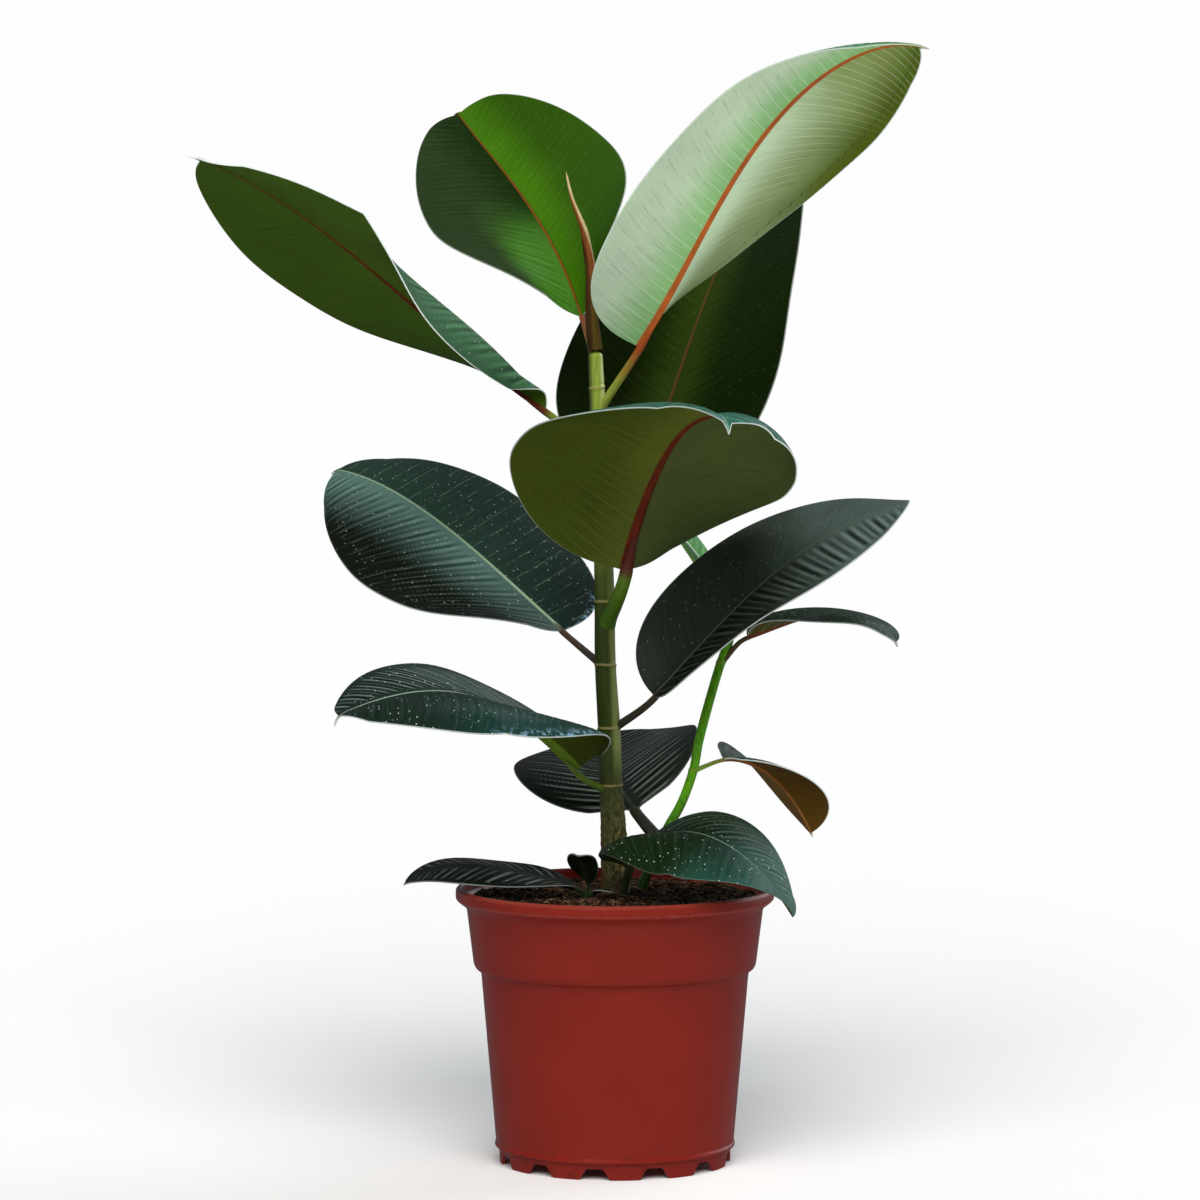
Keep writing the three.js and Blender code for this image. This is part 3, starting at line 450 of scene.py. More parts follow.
def make_piece(name, points, faces, finishes, slot, nodes=(), facts=None, second=None):
    """A mesh object in metres from points in millimetres round the pot's axis. Facts are numbers
    kept at each point, and second marks the faces that take the second finish."""
    mesh = bpy.data.meshes.new(name)
    mesh.vertices.add(len(points))
    mesh.vertices.foreach_set("co", (points * MM + AXIS).astype(np.float32).ravel())
    sizes = np.concatenate([np.full(len(f), f.shape[1]) for f in faces])
    corners = np.concatenate([f.ravel() for f in faces]).astype(np.int32)
    mesh.loops.add(len(corners))
    mesh.loops.foreach_set("vertex_index", corners)
    mesh.polygons.add(len(sizes))
    starts = np.concatenate([[0], np.cumsum(sizes)[:-1]])
    mesh.polygons.foreach_set("loop_start", starts.astype(np.int32))
    mesh.update(calc_edges=True)
    mesh.shade_smooth()
    for finish in finishes:
        mesh.materials.append(finish)
    if second is not None:
        mesh.polygons.foreach_set("material_index", second.astype(np.int32))
    for fact, values in (facts or {}).items():
        layer = mesh.attributes.new(fact, "FLOAT", "POINT")
        layer.data.foreach_set("value", np.asarray(values, np.float32))
    piece = bpy.data.objects.new(name, mesh)
    bpy.context.scene.collection.objects.link(piece)
    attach(piece, "root")
    if nodes:
        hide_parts(*nodes)
    return piece


# ---- Shader expressions ----------------------------------------------------------------------


class Value:
    """A shader socket that takes part in Python sums. Each operation adds a Math node."""

    def __init__(self, finish, socket):
        self.finish = finish
        self.socket = socket

    def __add__(self, other):
        return self.finish.maths("ADD", self, other)

    def __sub__(self, other):
        return self.finish.maths("SUBTRACT", self, other)

    def __rsub__(self, other):
        return self.finish.maths("SUBTRACT", other, self)

    def __mul__(self, other):
        return self.finish.maths("MULTIPLY", self, other)

    def __truediv__(self, other):
        return self.finish.maths("DIVIDE", self, other)

    def __abs__(self):
        return self.finish.maths("ABSOLUTE", self)

    __radd__ = __add__
    __rmul__ = __mul__


class Finish:
    """A material while it is put together."""

    def __init__(self, name):
        self.material = bpy.data.materials.new(name)
        self.material.use_nodes = True
        self.tree = self.material.node_tree
        self.tree.nodes.clear()

    def node(self, kind, settings, sockets, output=0):
        """One node: its settings first, then the values or links of its sockets."""
        made = self.tree.nodes.new("ShaderNode" + kind)
        for key, value in settings.items():
            setattr(made, key, value)
        for key, value in sockets.items():
            goal = made.inputs[key]
            if isinstance(value, Value):
                self.tree.links.new(value.socket, goal)
            else:
                goal.default_value = (*value, 1) if goal.type == "RGBA" else value
        return Value(self, made.outputs[output])

    def maths(self, operation, *values):
        """One Math node on numbers or values."""
        return self.node("Math", {"operation": operation}, dict(enumerate(values)))

    def fraction(self, value):
        """What is left of a value above the whole number below it."""
        return self.maths("FRACT", value)

    def most(self, a, b):
        """The larger of two values."""
        return self.maths("MAXIMUM", a, b)

    def step(self, value, low, high):
        """Smooth step from 0 at low to 1 at high; low may be the larger."""
        if low > high:
            return 1 - self.step(value, high, low)
        settings = {"interpolation_type": "SMOOTHSTEP"}
        return self.node("MapRange", settings, {0: value, 1: low, 2: high, 3: 0.0, 4: 1.0})

    def mix(self, a, b, share):
        """Colour a at share 0, colour b at share 1."""
        return self.node("Mix", {"data_type": "RGBA"}, {0: share, 6: a, 7: b}, 2)

    def coated(self, colour, code, share):
        """A colour with another one, given as six hex digits, laid over it by the share."""
        return self.mix(colour, paint(code), share)

    def scaled(self, colour, value):
        """A colour times a number."""
        return self.node("VectorMath", {"operation": "SCALE"}, {0: colour, 3: value})

    def place(self):
        """The point's place on the object."""
        return self.node("TexCoord", {}, {}, "Object")

    def part(self, vector, index):
        """One of a vector's three numbers."""
        return self.node("SeparateXYZ", {}, {0: vector}, index)

    def vector(self, x, y, z):
        """A vector of three numbers."""
        return self.node("CombineXYZ", {}, {0: x, 1: y, 2: z})

    def fact(self, name):
        """A number kept at each point of the mesh."""
        return self.node("Attribute", {"attribute_name": name}, {}, "Fac")

    def noise(self, vector, scale, detail=2.0, rough=0.5):
        """Uneven values from 0 to 1."""
        sockets = {"Vector": vector, "Scale": scale, "Detail": detail, "Roughness": rough}
        return self.node("TexNoise", {}, sockets)

    def cells(self, vector, scale, output="Distance", flat=False):
        """A pattern of cells: how far the middle of each is, or its random colour."""
        settings = {"voronoi_dimensions": "2D"} if flat else {}
        return self.node("TexVoronoi", settings, {"Vector": vector, "Scale": scale}, output)

    def stretched(self, vector, x, y, z):
        """A vector with each of its numbers scaled."""
        return self.node("VectorMath", {"operation": "MULTIPLY"}, {0: vector, 1: (x, y, z)})

    def specks(self, vector, scale, share, size, flat=False):
        """Small round specks, in that share of the cells of a cell pattern; size is in cells. A flat
        pattern reads only the vector's first two numbers."""
        colour = self.cells(vector, scale, "Color", flat)
        chosen = self.step(self.part(colour, 0), 1 - share, 1 - share * 0.9)
        return chosen * self.step(self.cells(vector, scale, flat=flat), size, size * 0.6)

    def bump(self, height, distance):
        """The normal of a surface with that height over it."""
        return self.node("Bump", {}, {"Height": height, "Distance": distance, "Strength": 1.0})

    def surface(self, colour, roughness, normal=None, **constants):
        """The finished material. Constants are the shader's own sockets, with _ for a space."""
        sockets = {"Base Color": colour, "Roughness": roughness}
        if normal is not None:
            sockets["Normal"] = normal
        sockets.update({key.replace("_", " "): value for key, value in constants.items()})
        shader = self.node("BsdfPrincipled", {}, sockets)
        end = self.tree.nodes.new("ShaderNodeOutputMaterial")
        self.tree.links.new(shader.socket, end.inputs["Surface"])
        return self.material


# ---- Pot -------------------------------------------------------------------------------------


def rounded(corners, steps=6):
    """A profile whose corners are rounded: each corner's arc is the quadratic curve from a point
    its own radius before the corner to one as far after it."""
    p = np.array([c[:2] for c in corners], float)
    reach = np.array([c[2] for c in corners], float)
    back, ahead = np.roll(p, 1, axis=0) - p, np.roll(p, -1, axis=0) - p
    back_length = np.linalg.norm(back, axis=1)
    ahead_length = np.linalg.norm(ahead, axis=1)
    reach = np.minimum(reach, 0.45 * np.minimum(back_length, ahead_length))
    a = p + back / back_length[:, None] * reach[:, None]
    b = p + ahead / ahead_length[:, None] * reach[:, None]
    u = np.linspace(0, 1, steps)[None, :, None]
    arcs = a[:, None] * (1 - u) ** 2 + p[:, None] * 2 * u * (1 - u) + b[:, None] * u * u
    return arcs.reshape(-1, 2)


def pot_profile():
    """The pot's section, from under its floor, down and up its skirt, up outside, over the rim, and
    down inside to its floor. Each corner is its radius, its height and how far it is rounded."""
    wall, rim, top = POT["wall"], POT["rim_radius"], POT["height"]
    foot, floor, below = POT["foot_radius"], POT["floor_height"], top - POT["rim_height"]
    ridge, waist, shoulder, collar = (
        POT[name + "_radius"] for name in ("ridge", "waist", "shoulder", "collar"))
    ridge_at, waist_at, shoulder_at, collar_at = (
        POT[name + "_height"] for name in ("ridge", "waist", "shoulder", "collar"))
    corners = [
        (1, floor, 0), (foot - wall, floor, 0.8), (foot - wall, 0, 0.5), (foot, 0, 0.5),
        (foot + 0.4, ridge_at - 1.4, 0.8), (ridge, ridge_at - 0.4, 0.7), (ridge, ridge_at + 1, 0.6),
        (ridge - 0.6, ridge_at + 2, 0.8), (waist, waist_at, 2.2), (waist + 0.5, waist_at + 2, 1.2),
        (shoulder - 1.2, shoulder_at - 1.8, 1.4), (shoulder, shoulder_at + 0.6, 1.6),
        (collar, collar_at, 2), (rim - 1.4, below - 0.4, 1), (rim, below + 1, 0.9),
        (rim, top - 1.2, 1.6), (rim - 1.4, top, 1.2), (rim - 2.6, top, 0.9),
        (rim - 3.4, top - 0.9, 0.9), (rim - 3.7, below + 1, 1.4), (collar - wall, collar_at, 2),
        (shoulder - wall, shoulder_at + wall, 2), (waist - wall, waist_at, 3),
        (ridge - 0.6 - wall, floor + wall, 2), (1, floor + wall, 0),
    ]
    return rounded(corners)


def foot_angles():
    """Angles round the pot, closer together at the flanks of the gaps between the feet, and how far
    along the pitch from gap to gap each lies."""
    pitch = 2 * np.pi * POT["foot_radius"] / FEET["count"]
    gap_top, gap_bottom = FEET["gap_top"] / 2 - 0.6, FEET["gap_bottom"] / 2 + 0.6
    half = np.concatenate([np.linspace(0, gap_top, 4)[:-1], np.linspace(gap_top, gap_bottom, 9),
                           np.linspace(gap_bottom, pitch / 2, 6)[1:]])
    whole = np.concatenate([half, pitch - half[-2:0:-1]])
    starts = np.arange(FEET["count"])[:, None] * pitch
    first_gap = np.radians(FEET["turn"] - 90) + np.pi / FEET["count"]
    angle = (starts + whole).ravel() / POT["foot_radius"] + first_gap
    return angle, np.tile(whole, FEET["count"]), pitch


def pot_points():
    """The profile turned round the axis. Below the ridge, height is squeezed into what lies above the
    skirt's lower edge, which rises in a smooth step at each gap between two feet."""
    profile = pot_profile()
    angle, along_pitch, pitch = foot_angles()
    from_gap = np.minimum(along_pitch, pitch - along_pitch)
    flank = FEET["gap_top"] / 2 - 0.5, FEET["gap_bottom"] / 2 + 0.5
    lift = FEET["gap_height"] * (1 - ease(from_gap, *flank))
    radius, height = profile[:, 0][:, None], profile[:, 1][:, None]
    share = np.clip(1 - height / (POT["ridge_height"] - 1.4), 0, 1)
    z = height + lift[None] * share
    return circles(radius, z, angle)


def plastic_finish(settings):
    """Cloudy, slightly scuffed plastic, with soil on the rim, a painted highlight along the lip and
    the rim's edge, and a stained foot.
    """
    f = Finish("pot_plastic")
    place = f.place()
    z = f.part(place, 2)
    cloudy = f.noise(place, 28, 3)
    fine = f.noise(place, 900, 2)
    scratch = f.noise(f.stretched(place, 90, 90, 2600), 1, 3, 0.6)
    scuff = f.step(scratch, 0.62, 0.74) * f.step(f.noise(place, 45, 2), 0.5, 0.66)
    base = tuple(settings.colour)
    deep, worn = tuple(c * 0.9 for c in base), tuple(min(1, c * 1.15 + 0.01) for c in base)
    colour = f.mix(deep, base, f.step(cloudy, 0.3, 0.7))
    colour = f.mix(colour, worn, scuff * 0.5)
    clinging = 0.12 + f.step(z, *POT_MARKS["rim_soil"]) * 0.8
    smear = f.step(z, *POT_MARKS["smear"]) * f.step(cloudy, 0.4, 0.62)
    grime = f.most(f.specks(place, 420, 0.10, 0.32) * clinging, smear * 0.18)
    colour = f.coated(colour, "1c0f0b", grime * settings.grime)
    # Painted highlight: a thin line along the rim's edge and a band over the lip.
    edge = f.step(abs(z - POT_MARKS["rim_highlight_height"]), 0.0009, 0.0003) * f.step(fine, 0.4, 0.55)
    lip = f.most(f.step(z, *POT_MARKS["lip_highlight"]), edge)
    colour = f.coated(colour, "b4604f", lip * 0.22)
    foot = f.step(z, *POT_MARKS["stained_foot"]) * f.step(f.noise(place, 120, 4, 0.7), 0.52, 0.72)
    colour = f.coated(colour, "3c1712", foot * 0.5)
    rough = 0.26 + cloudy * 0.1 + scuff * 0.2 + fine * 0.05
    normal = f.bump(cloudy * 0.4 + fine * 0.03 + scratch * 0.03, 0.0004)
    return f.surface(colour, rough, normal, Specular_IOR_Level=0.32)


# ---- Soil ------------------------------------------------------------------------------------


def soil_height(x, y):
    """The soil's level, plus the mound round the stem, which falls off as a square, plus the solid's
    slow unevenness, plus fine crumbling that is calm by the wall, less a smooth dip at the wall."""
    r = np.hypot(x, y)
    mound = SOIL["mound"] * np.maximum(0, 1 - r / SOIL["reach"]) ** 2
    slow = SOIL["lump"] * np.sin(x / 7.3 + y / 11) * np.cos(y / 6.1 - x / 17)
    crumbs = 0.5 * ripples(3, x, y, 0 * x, 5.0) + 0.28 * ripples(4, x, y, 0 * x, 2.2)
    crumbs = crumbs * (1 - ease(r, SOIL["calm_from"], SOIL["calm_to"]))
    dip = SOIL["dip"] * ease(r, SOIL["dip_from"], SOIL["edge"])
    return SOIL["level"] + mound + slow + crumbs - dip


def soil_surface(rows=110, sides=330):
    """A disc of rings from the axis out to the wall, lifted to the soil's height, and closed below by
    the inner shape of the pot."""
    radius = SOIL["edge"] * np.linspace(0, 1, rows + 1)[1:]
    angle = turns(sides)
    x, y = radius[:, None] * np.cos(angle), radius[:, None] * np.sin(angle)
    top = np.stack([x, y, soil_height(x, y)], -1)
    wall = POT["wall"] + 0.3
    below = [(POT["collar_radius"] - wall, POT["collar_height"]),
             (POT["shoulder_radius"] - wall, POT["shoulder_height"] + 1.6),
             (POT["waist_radius"] - wall, POT["waist_height"]),
             (POT["ridge_radius"] - 0.6 - wall, POT["floor_height"] + 2.2)]
    rings = np.concatenate([top, [circles(r, z, angle) for r, z in below]])[::-1]
    centre = (0, 0, soil_height(np.zeros(1), np.zeros(1))[0])
    return close_rings(rings, (0, 0, POT["floor_height"] + 1.9), centre)


def scatter(rng, count, reach):
    """Random places on the soil, evenly spread over a disc, and the height there."""
    r = reach * np.sqrt(rng.uniform(0, 1, count))
    a = rng.uniform(0, 2 * np.pi, count)
    x, y = r * np.cos(a), r * np.sin(a)
    return x, y, soil_height(x, y)


def crumb_points():
    """The twelve corners of an icosahedron, and its twenty faces."""
    g = (1 + 5 ** 0.5) / 2
    p = np.array([(-1, g, 0), (1, g, 0), (-1, -g, 0), (1, -g, 0), (0, -1, g), (0, 1, g),
                  (0, -1, -g), (0, 1, -g), (g, 0, -1), (g, 0, 1), (-g, 0, -1), (-g, 0, 1)], float)
    f = np.array([(0, 11, 5), (0, 5, 1), (0, 1, 7), (0, 7, 10), (0, 10, 11), (1, 5, 9), (5, 11, 4),
                  (11, 10, 2), (10, 7, 6), (7, 1, 8), (3, 9, 4), (3, 4, 2), (3, 2, 6), (3, 6, 8),
                  (3, 8, 9), (4, 9, 5), (2, 4, 11), (6, 2, 10), (8, 6, 7), (9, 8, 1)])
    return p / np.linalg.norm(p[0]), f


def soil_crumbs(count):
    """Uneven grains: icosahedra of three random half axes, turned at random, sunk by a third."""
    rng = np.random.default_rng(11)
    x, y, z = scatter(rng, count, SOIL["crumbs_within"])
    size = rng.uniform(0.45, 1.5, (count, 1)) * rng.uniform(0.55, 1.2, (count, 3))
    points, faces = crumb_points()
    uneven = points * (1 + 0.18 * np.sin(5 * points[:, :1] + 3 * points[:, 1:2]))
    place = np.stack([x, y, z + 0.3 * size.mean(1)], -1)
    return copies(uneven, faces, place, random_turns(rng, count), size)


def soil_flakes(count, seed, long, thin):
    """Flat bits of bark or coir: six-sided slabs, mostly lying flat."""
    rng = np.random.default_rng(seed)
    x, y, z = scatter(rng, count, SOIL["flakes_within"])
    size = rng.uniform(0.5, 1.0, (count, 3)) * (long, long * 0.45, thin)
    slab = np.array([(-1, -0.6, -1), (0.8, -1, -1), (1, 0.7, -1), (-0.7, 1, -1),
                     (-0.9, -0.7, 1), (0.9, -0.8, 1), (0.8, 0.9, 1), (-0.8, 0.8, 1)], float)
    faces = np.array([(0, 3, 2, 1), (4, 5, 6, 7), (0, 1, 5, 4), (1, 2, 6, 5), (2, 3, 7, 6),
                      (3, 0, 4, 7)])
    turn = random_turns(rng, count)
    flat = np.tile(np.eye(3), (count, 1, 1))
    a = rng.uniform(0, 2 * np.pi, count)
    flat[:, 0, 0], flat[:, 0, 1] = np.cos(a), -np.sin(a)
    flat[:, 1, 0], flat[:, 1, 1] = np.sin(a), np.cos(a)
    blend = flat + 0.35 * turn
    blend /= np.linalg.norm(blend, axis=1, keepdims=True)
    return copies(slab, faces, np.stack([x, y, z + 0.35], -1), blend, size)


def soil_fibres(count):
    """Thin bent fibres: three-sided tubes along an arc of four stations, each arc its own length,
    bend, heading and lift."""
    rng = np.random.default_rng(23)
    x, y, z = scatter(rng, count, SOIL["fibres_within"])
    length = rng.uniform(2.5, 11, count)[:, None]
    heading = rng.uniform(0, 2 * np.pi, count)[:, None]
    bend = rng.uniform(-1.4, 1.4, count)[:, None]
    lift = rng.uniform(-0.12, 0.38, count)[:, None]
    s = np.array([-0.5, -0.17, 0.17, 0.5])[None]
    direction = heading + bend * s
    px = x[:, None] + length * s * np.cos(direction)
    py = y[:, None] + length * s * np.sin(direction)
    inside = np.minimum(1, SOIL["crumbs_within"] / np.maximum(np.hypot(px, py), 1))
    px, py = px * inside, py * inside
    pz = z[:, None] + 0.45 + lift * length * (s + 0.3) + 0.06 * length * (1 - 4 * s * s)
    radius = rng.uniform(0.09, 0.2, count)[:, None] * np.array([0.5, 1, 1, 0.4])[None]
    corner = turns(3)[:, None]
    side = np.stack([-np.sin(direction), np.cos(direction), 0 * direction], -1)[:, :, None]
    up = np.array([0, 0, 1.0])
    centre = np.stack([px, py, pz], -1)[:, :, None]
    tube = centre + radius[..., None, None] * (side * np.cos(corner) + up * np.sin(corner))
    ends = np.array([(2, 1, 0), (9, 10, 11)])
    shift = np.arange(count)[:, None, None] * 12
    faces = [(part[None] + shift).reshape(-1, part.shape[1]) for part in (ring_quads(4, 3), ends)]
    return tube.reshape(-1, 3), faces


def soil_finish(settings):
    """Dark grains on a darker ground, with streaks of fibre and pale specks, in uneven patches."""
    f = Finish("potting_soil")
    place = f.place()
    grain = f.noise(place, 700, 5, 0.65)
    patch = f.noise(place, 60, 3)
    fibre = f.noise(f.stretched(place, 1400, 260, 900), 1, 3)
    base = tuple(settings.colour)
    colour = f.mix(tuple(c * 0.35 for c in base), base, f.step(grain, 0.35, 0.65))
    colour = f.coated(colour, "4a2f20", f.step(fibre, 0.6, 0.7) * 0.6)
    colour = f.coated(colour, "6e5138", f.specks(place, 520, 0.12, 0.4) * 0.7)
    colour = f.scaled(colour, 0.7 + patch * 0.6)
    normal = f.bump(grain + fibre * 0.5, 0.0012)
    return f.surface(colour, 0.92 - grain * 0.12, normal, Specular_IOR_Level=0.2)


def bits_finish(name, dark, pale):
    """Loose bits between a dark and a pale tone, finely grained."""
    f = Finish(name)
    place = f.place()
    tone = f.noise(place, 180, 1)
    grain = f.noise(place, 1500, 3)
    colour = f.coated(paint(dark), pale, f.step(tone, 0.42, 0.62))
    colour = f.scaled(colour, 0.6 + grain * 0.8)
    return f.surface(colour, 0.85 - grain * 0.1, f.bump(grain, 0.0003), Specular_IOR_Level=0.25)


# ---- Stems -----------------------------------------------------------------------------------


def radius_along(stem, place):
    """Half the diameter, read along the stem between the two points beside each place."""
    return np.interp(place, np.arange(len(stem["diameters"])), stem["diameters"])[:, None] / 2


def rounded_end(rows, last, least):
    """One along a path, and falling off as a square root over its last few rows, to close its end."""
    return np.minimum(1, np.sqrt(np.maximum(least, np.linspace(rows / last, 0, rows))))[:, None]


def stem_radius(stem, place, z, angle, cork_height):
    """Half the diameter read along the stem, plus a rounded rib with a fine groove above it at each
    leaf ring, plus a slow unevenness, plus corky plates below the cork height."""
    radius = radius_along(stem, place)
    ring_height = np.array(stem["rings"])
    tilt = 0.5 * np.sin(angle[None] + ring_height[:, None])
    gap = z[:, None, None] - ring_height[None, :, None] - tilt[None]
    ring = (0.42 * bell(gap, 0.9) - 0.14 * bell(gap - 1.9, 0.6)).sum(1)
    x, y = radius * np.cos(angle), radius * np.sin(angle)
    slow = 0.012 * radius * ripples(31, x * 2, y * 2, z[:, None] / 3, 14)
    cork = 1 - ease(z, cork_height - 34, cork_height)[:, None]
    plates = ripples(37, x * 1.6, y * 1.6, z[:, None] * 0.45, 4.5)
    fissures = -0.5 * np.maximum(0, plates) ** 2 + 0.16 * ripples(41, x, y, z[:, None], 1.9)
    return radius + ring * np.minimum(1, radius / 4) + slow + cork * np.clip(fissures, -0.7, 0.35)


def stem_points(stem, rows, sides, cork_height=0.0):
    """Rings of the stem's radius along a smooth path through its points, with a rounded end."""
    path, place = smooth_path(stem["points"], rows)
    angle = turns(sides)
    radius = stem_radius(stem, place, path[:, 2], angle, cork_height) * rounded_end(rows, 5, 0.02)
    return close_rings(rings_along(path, radius, np.array([1.0, 0, 0])), path[0], path[-1])


def bark_finish(settings):
    """Green above, olive below, and corky at the foot, with streaks along the stem and tan rings. The
    cork is paler on the right, lit side, and the young part has painted shade along its left side and
    a painted highlight along its right one, with a band of painted light lower down on the right."""
    f = Finish("bark")
    place = f.place()
    x, z = f.part(place, 0) - AXIS[0], f.part(place, 2)
    lean = x + (z - BARK_LEAN["base"]) * BARK_LEAN["slope"]
    streak = f.noise(f.stretched(place, 700, 700, 60), 1, 4, 0.6)
    fleck = f.noise(f.stretched(place, 900, 900, 260), 1, 3, 0.7)
    green = f.mix(paint("2c3c04"), tuple(settings.young), f.step(z, *BARK_MARKS["young"]))
    green = f.mix(paint("2f3a10"), green, f.step(z, *BARK_MARKS["olive"]))
    green = f.scaled(green, 0.4 + streak * 1.15)
    cork = f.step(z + (fleck - 0.5) * 0.09, *BARK_MARKS["cork"])
    # The cork shows paler on the right, lit side: painted light over the stem's own cork.
    right = f.step(x, *BARK_MARKS["cork_lit_side"])
    tan = f.coated(paint("5a4a30"), "a08c60", f.noise(place, 420, 3))
    colour = f.mix(green, tan, cork * f.step(fleck, 0.44, 0.56) * (0.45 + right * 0.55))
    foot = f.step(z + (streak - 0.5) * 0.02, *BARK_MARKS["foot"])
    colour = f.coated(colour, "5c4630", foot * 0.6)
    rust = f.step(x, *BARK_MARKS["rust_side"]) * f.step(z, *BARK_MARKS["rust"])
    colour = f.coated(colour, "7a4418", rust * 0.7)
    upper = f.step(z, *BARK_MARKS["upper"])
    # Painted shade down the young part's left side, painted light in a band down the right side lower
    # down, and a painted highlight along the right side above.
    colour = f.coated(colour, "2a3a0a", f.step(lean, *BARK_MARKS["shade_side"]) * upper * 0.85)
    lit_band = f.step(lean, *BARK_MARKS["lit_band_side"]) * f.step(z, *BARK_MARKS["lit_band"])
    colour = f.coated(colour, "848e4c", lit_band * f.step(z, *BARK_MARKS["lit_band_end"]) * 0.6)
    colour = f.coated(colour, "dce8a4", f.step(lean, *BARK_MARKS["highlight_side"]) * upper * 0.8)
    ring = None
    for height in MAIN_STEM["rings"]:
        from_ring = abs(z - (height + 0.4) * MM + (fleck - 0.5) * 0.0012)
        tall = f.step(from_ring, *BARK_MARKS["ring"])
        ring = tall if ring is None else f.most(ring, tall)
    colour = f.coated(colour, "8c8250", ring * f.step(streak, 0.25, 0.5) * 0.75)
    rough = f.step(z, *BARK_MARKS["matt"]) * 0.3 + 0.34 + fleck * 0.1
    normal = f.bump(streak * 0.4 + fleck * cork, 0.0006)
    return f.surface(colour, rough, normal, Specular_IOR_Level=0.45)


def green_stem_finish(name, base, deep, ring_heights):
    """A green skin streaked along the stem, darker at the foot with its own colour and painted shade,
    with an olive band at each ring.
    """
    f = Finish(name)
    place = f.place()
    z = f.part(place, 2)
    streak = f.noise(f.stretched(place, 900, 900, 50), 1, 3)
    patch = f.noise(place, 90, 2)
    colour = f.coated(paint(deep), base, f.step(streak, 0.25, 0.6))
    colour = f.scaled(colour, 0.75 + patch * 0.5)
    # The foot's dark green is partly the stem's own colour and partly painted shade.
    colour = f.coated(colour, "1c2c0c", f.step(z, *GREEN_STEM_MARKS["foot"]) * 0.9)
    for height in ring_heights:
        near = f.step(abs(z - height * MM), *GREEN_STEM_MARKS["ring"])
        colour = f.coated(colour, "8a8a3c", near * 0.5)
    return f.surface(colour, 0.34 + patch * 0.1, f.bump(streak, 0.0003), Specular_IOR_Level=0.25)


def sheath_points(rows=150, sides=48):
    """Rings of the sheath's radius along its path. For its rolled edge the radius steps by about a
    seventh along a line that winds round it, and three shallow creases run along it."""
    path, place = smooth_path(BUD_SHEATH["points"], rows)
    angle = turns(sides)
    wind = (angle[None] - 2.6 - place[:, None] * 0.55) % (2 * np.pi)
    lip = 1 + 0.09 * (1 - ease(wind, 0, 0.5)) - 0.06 * ease(wind, 5.2, 6.25)
    crease = 1 + 0.03 * np.sin(3 * angle[None] + place[:, None])
    radius = radius_along(BUD_SHEATH, place) * lip * crease * rounded_end(rows, 6, 0.03)
    return close_rings(rings_along(path, radius, np.array([0, 1.0, 0])), path[0], path[-1])


def sheath_finish(settings):
    """Brown at the foot, redder above, with painted shade along its left side and a pale yellowish
    painted highlight along its right one.
    """
    f = Finish("bud_sheath")
    place = f.place()
    x, z = f.part(place, 0) - AXIS[0], f.part(place, 2)
    streak = f.noise(f.stretched(place, 800, 800, 45), 1, 3)
    lean = x + f.step(z, *SHEATH_MARKS["bend"]) * SHEATH_LEAN["bend"]
    lean = lean + (z - SHEATH_LEAN["base"]) * SHEATH_LEAN["slope"]
    red = f.step(z + (streak - 0.5) * 0.02, *SHEATH_MARKS["red"])
    colour = f.mix(paint("5a4a1c"), tuple(settings.sheath), red)
    # Painted highlight: a pale yellowish band along the right side of the upper part.
    cream_highlight = f.step(lean, *SHEATH_MARKS["sheath_highlight_side"]) * f.step(z, *SHEATH_MARKS["cream_highlight"])
    colour = f.coated(colour, "f0d8a0", cream_highlight * 0.8)
    # Painted shade along the left side.
    colour = f.coated(colour, "3a200c", f.step(lean, *SHEATH_MARKS["sheath_shade_side"]) * 0.8)
    colour = f.scaled(colour, 0.4 + streak * 0.9)
    return f.surface(colour, 0.42 + streak * 0.1, f.bump(streak, 0.0003), Specular_IOR_Level=0.18)


# ---- Leaves ----------------------------------------------------------------------------------


def along(values, t):
    """The parabola through the values at base, middle and tip."""
    a, b, c = values
    return a * (2 * t * t - 3 * t + 1) + b * (4 * t - 4 * t * t) + c * (2 * t * t - t)


def outline(leaf, t):
    """Half the width as a share of the widest half: the cube root of the cubes of a skewed oval and
    of a drip tip that narrows as a parabola, closed in a small round at the ends."""
    skew = math.log(0.5) / math.log(leaf["widest"])
    u = np.minimum(t / leaf.get("oval_end", BLADE["oval_end"]), 1) ** skew
    power = np.where(u > 0.5, leaf.get("tip_point", leaf["point"]), leaf["point"])
    oval = np.maximum(1 - np.abs(2 * u - 1) ** BLADE["roundness"], 0) ** power
    narrow = np.minimum((1 - t) / BLADE["tip_run"] + 0.06, 1)
    root = BLADE["base_half"] + (BLADE["tip_half"] - BLADE["base_half"]) * t
    closing = np.sqrt(ease(t, -0.004, 0.004) * ease(1 - t, -0.0005, 0.004))
    return np.cbrt(oval ** 3 + (root * (0.35 * narrow + 0.65 * narrow ** 2)) ** 3) * closing


def directions(leaf, t):
    """Along the midrib by heading and rise, to its left turned by the roll, and up from both. A hook
    adds its turn to the rise, as the square of the way from its start to the tip."""
    heading, rise, roll = (np.radians(along(leaf[k], t)) for k in ("heading", "rise", "roll"))
    start, turn = leaf.get("hook", (0, 0))
    rise = rise + np.radians(turn) * np.maximum(0, (t - start) / (1 - start)) ** 2
    forward = circles(np.cos(rise), np.sin(rise), heading)
    level = np.stack([-np.sin(heading), np.cos(heading), 0 * heading], -1)
    left = level * np.cos(roll)[:, None] + np.cross(forward, level) * np.sin(roll)[:, None]
    return forward, left, np.cross(forward, left)


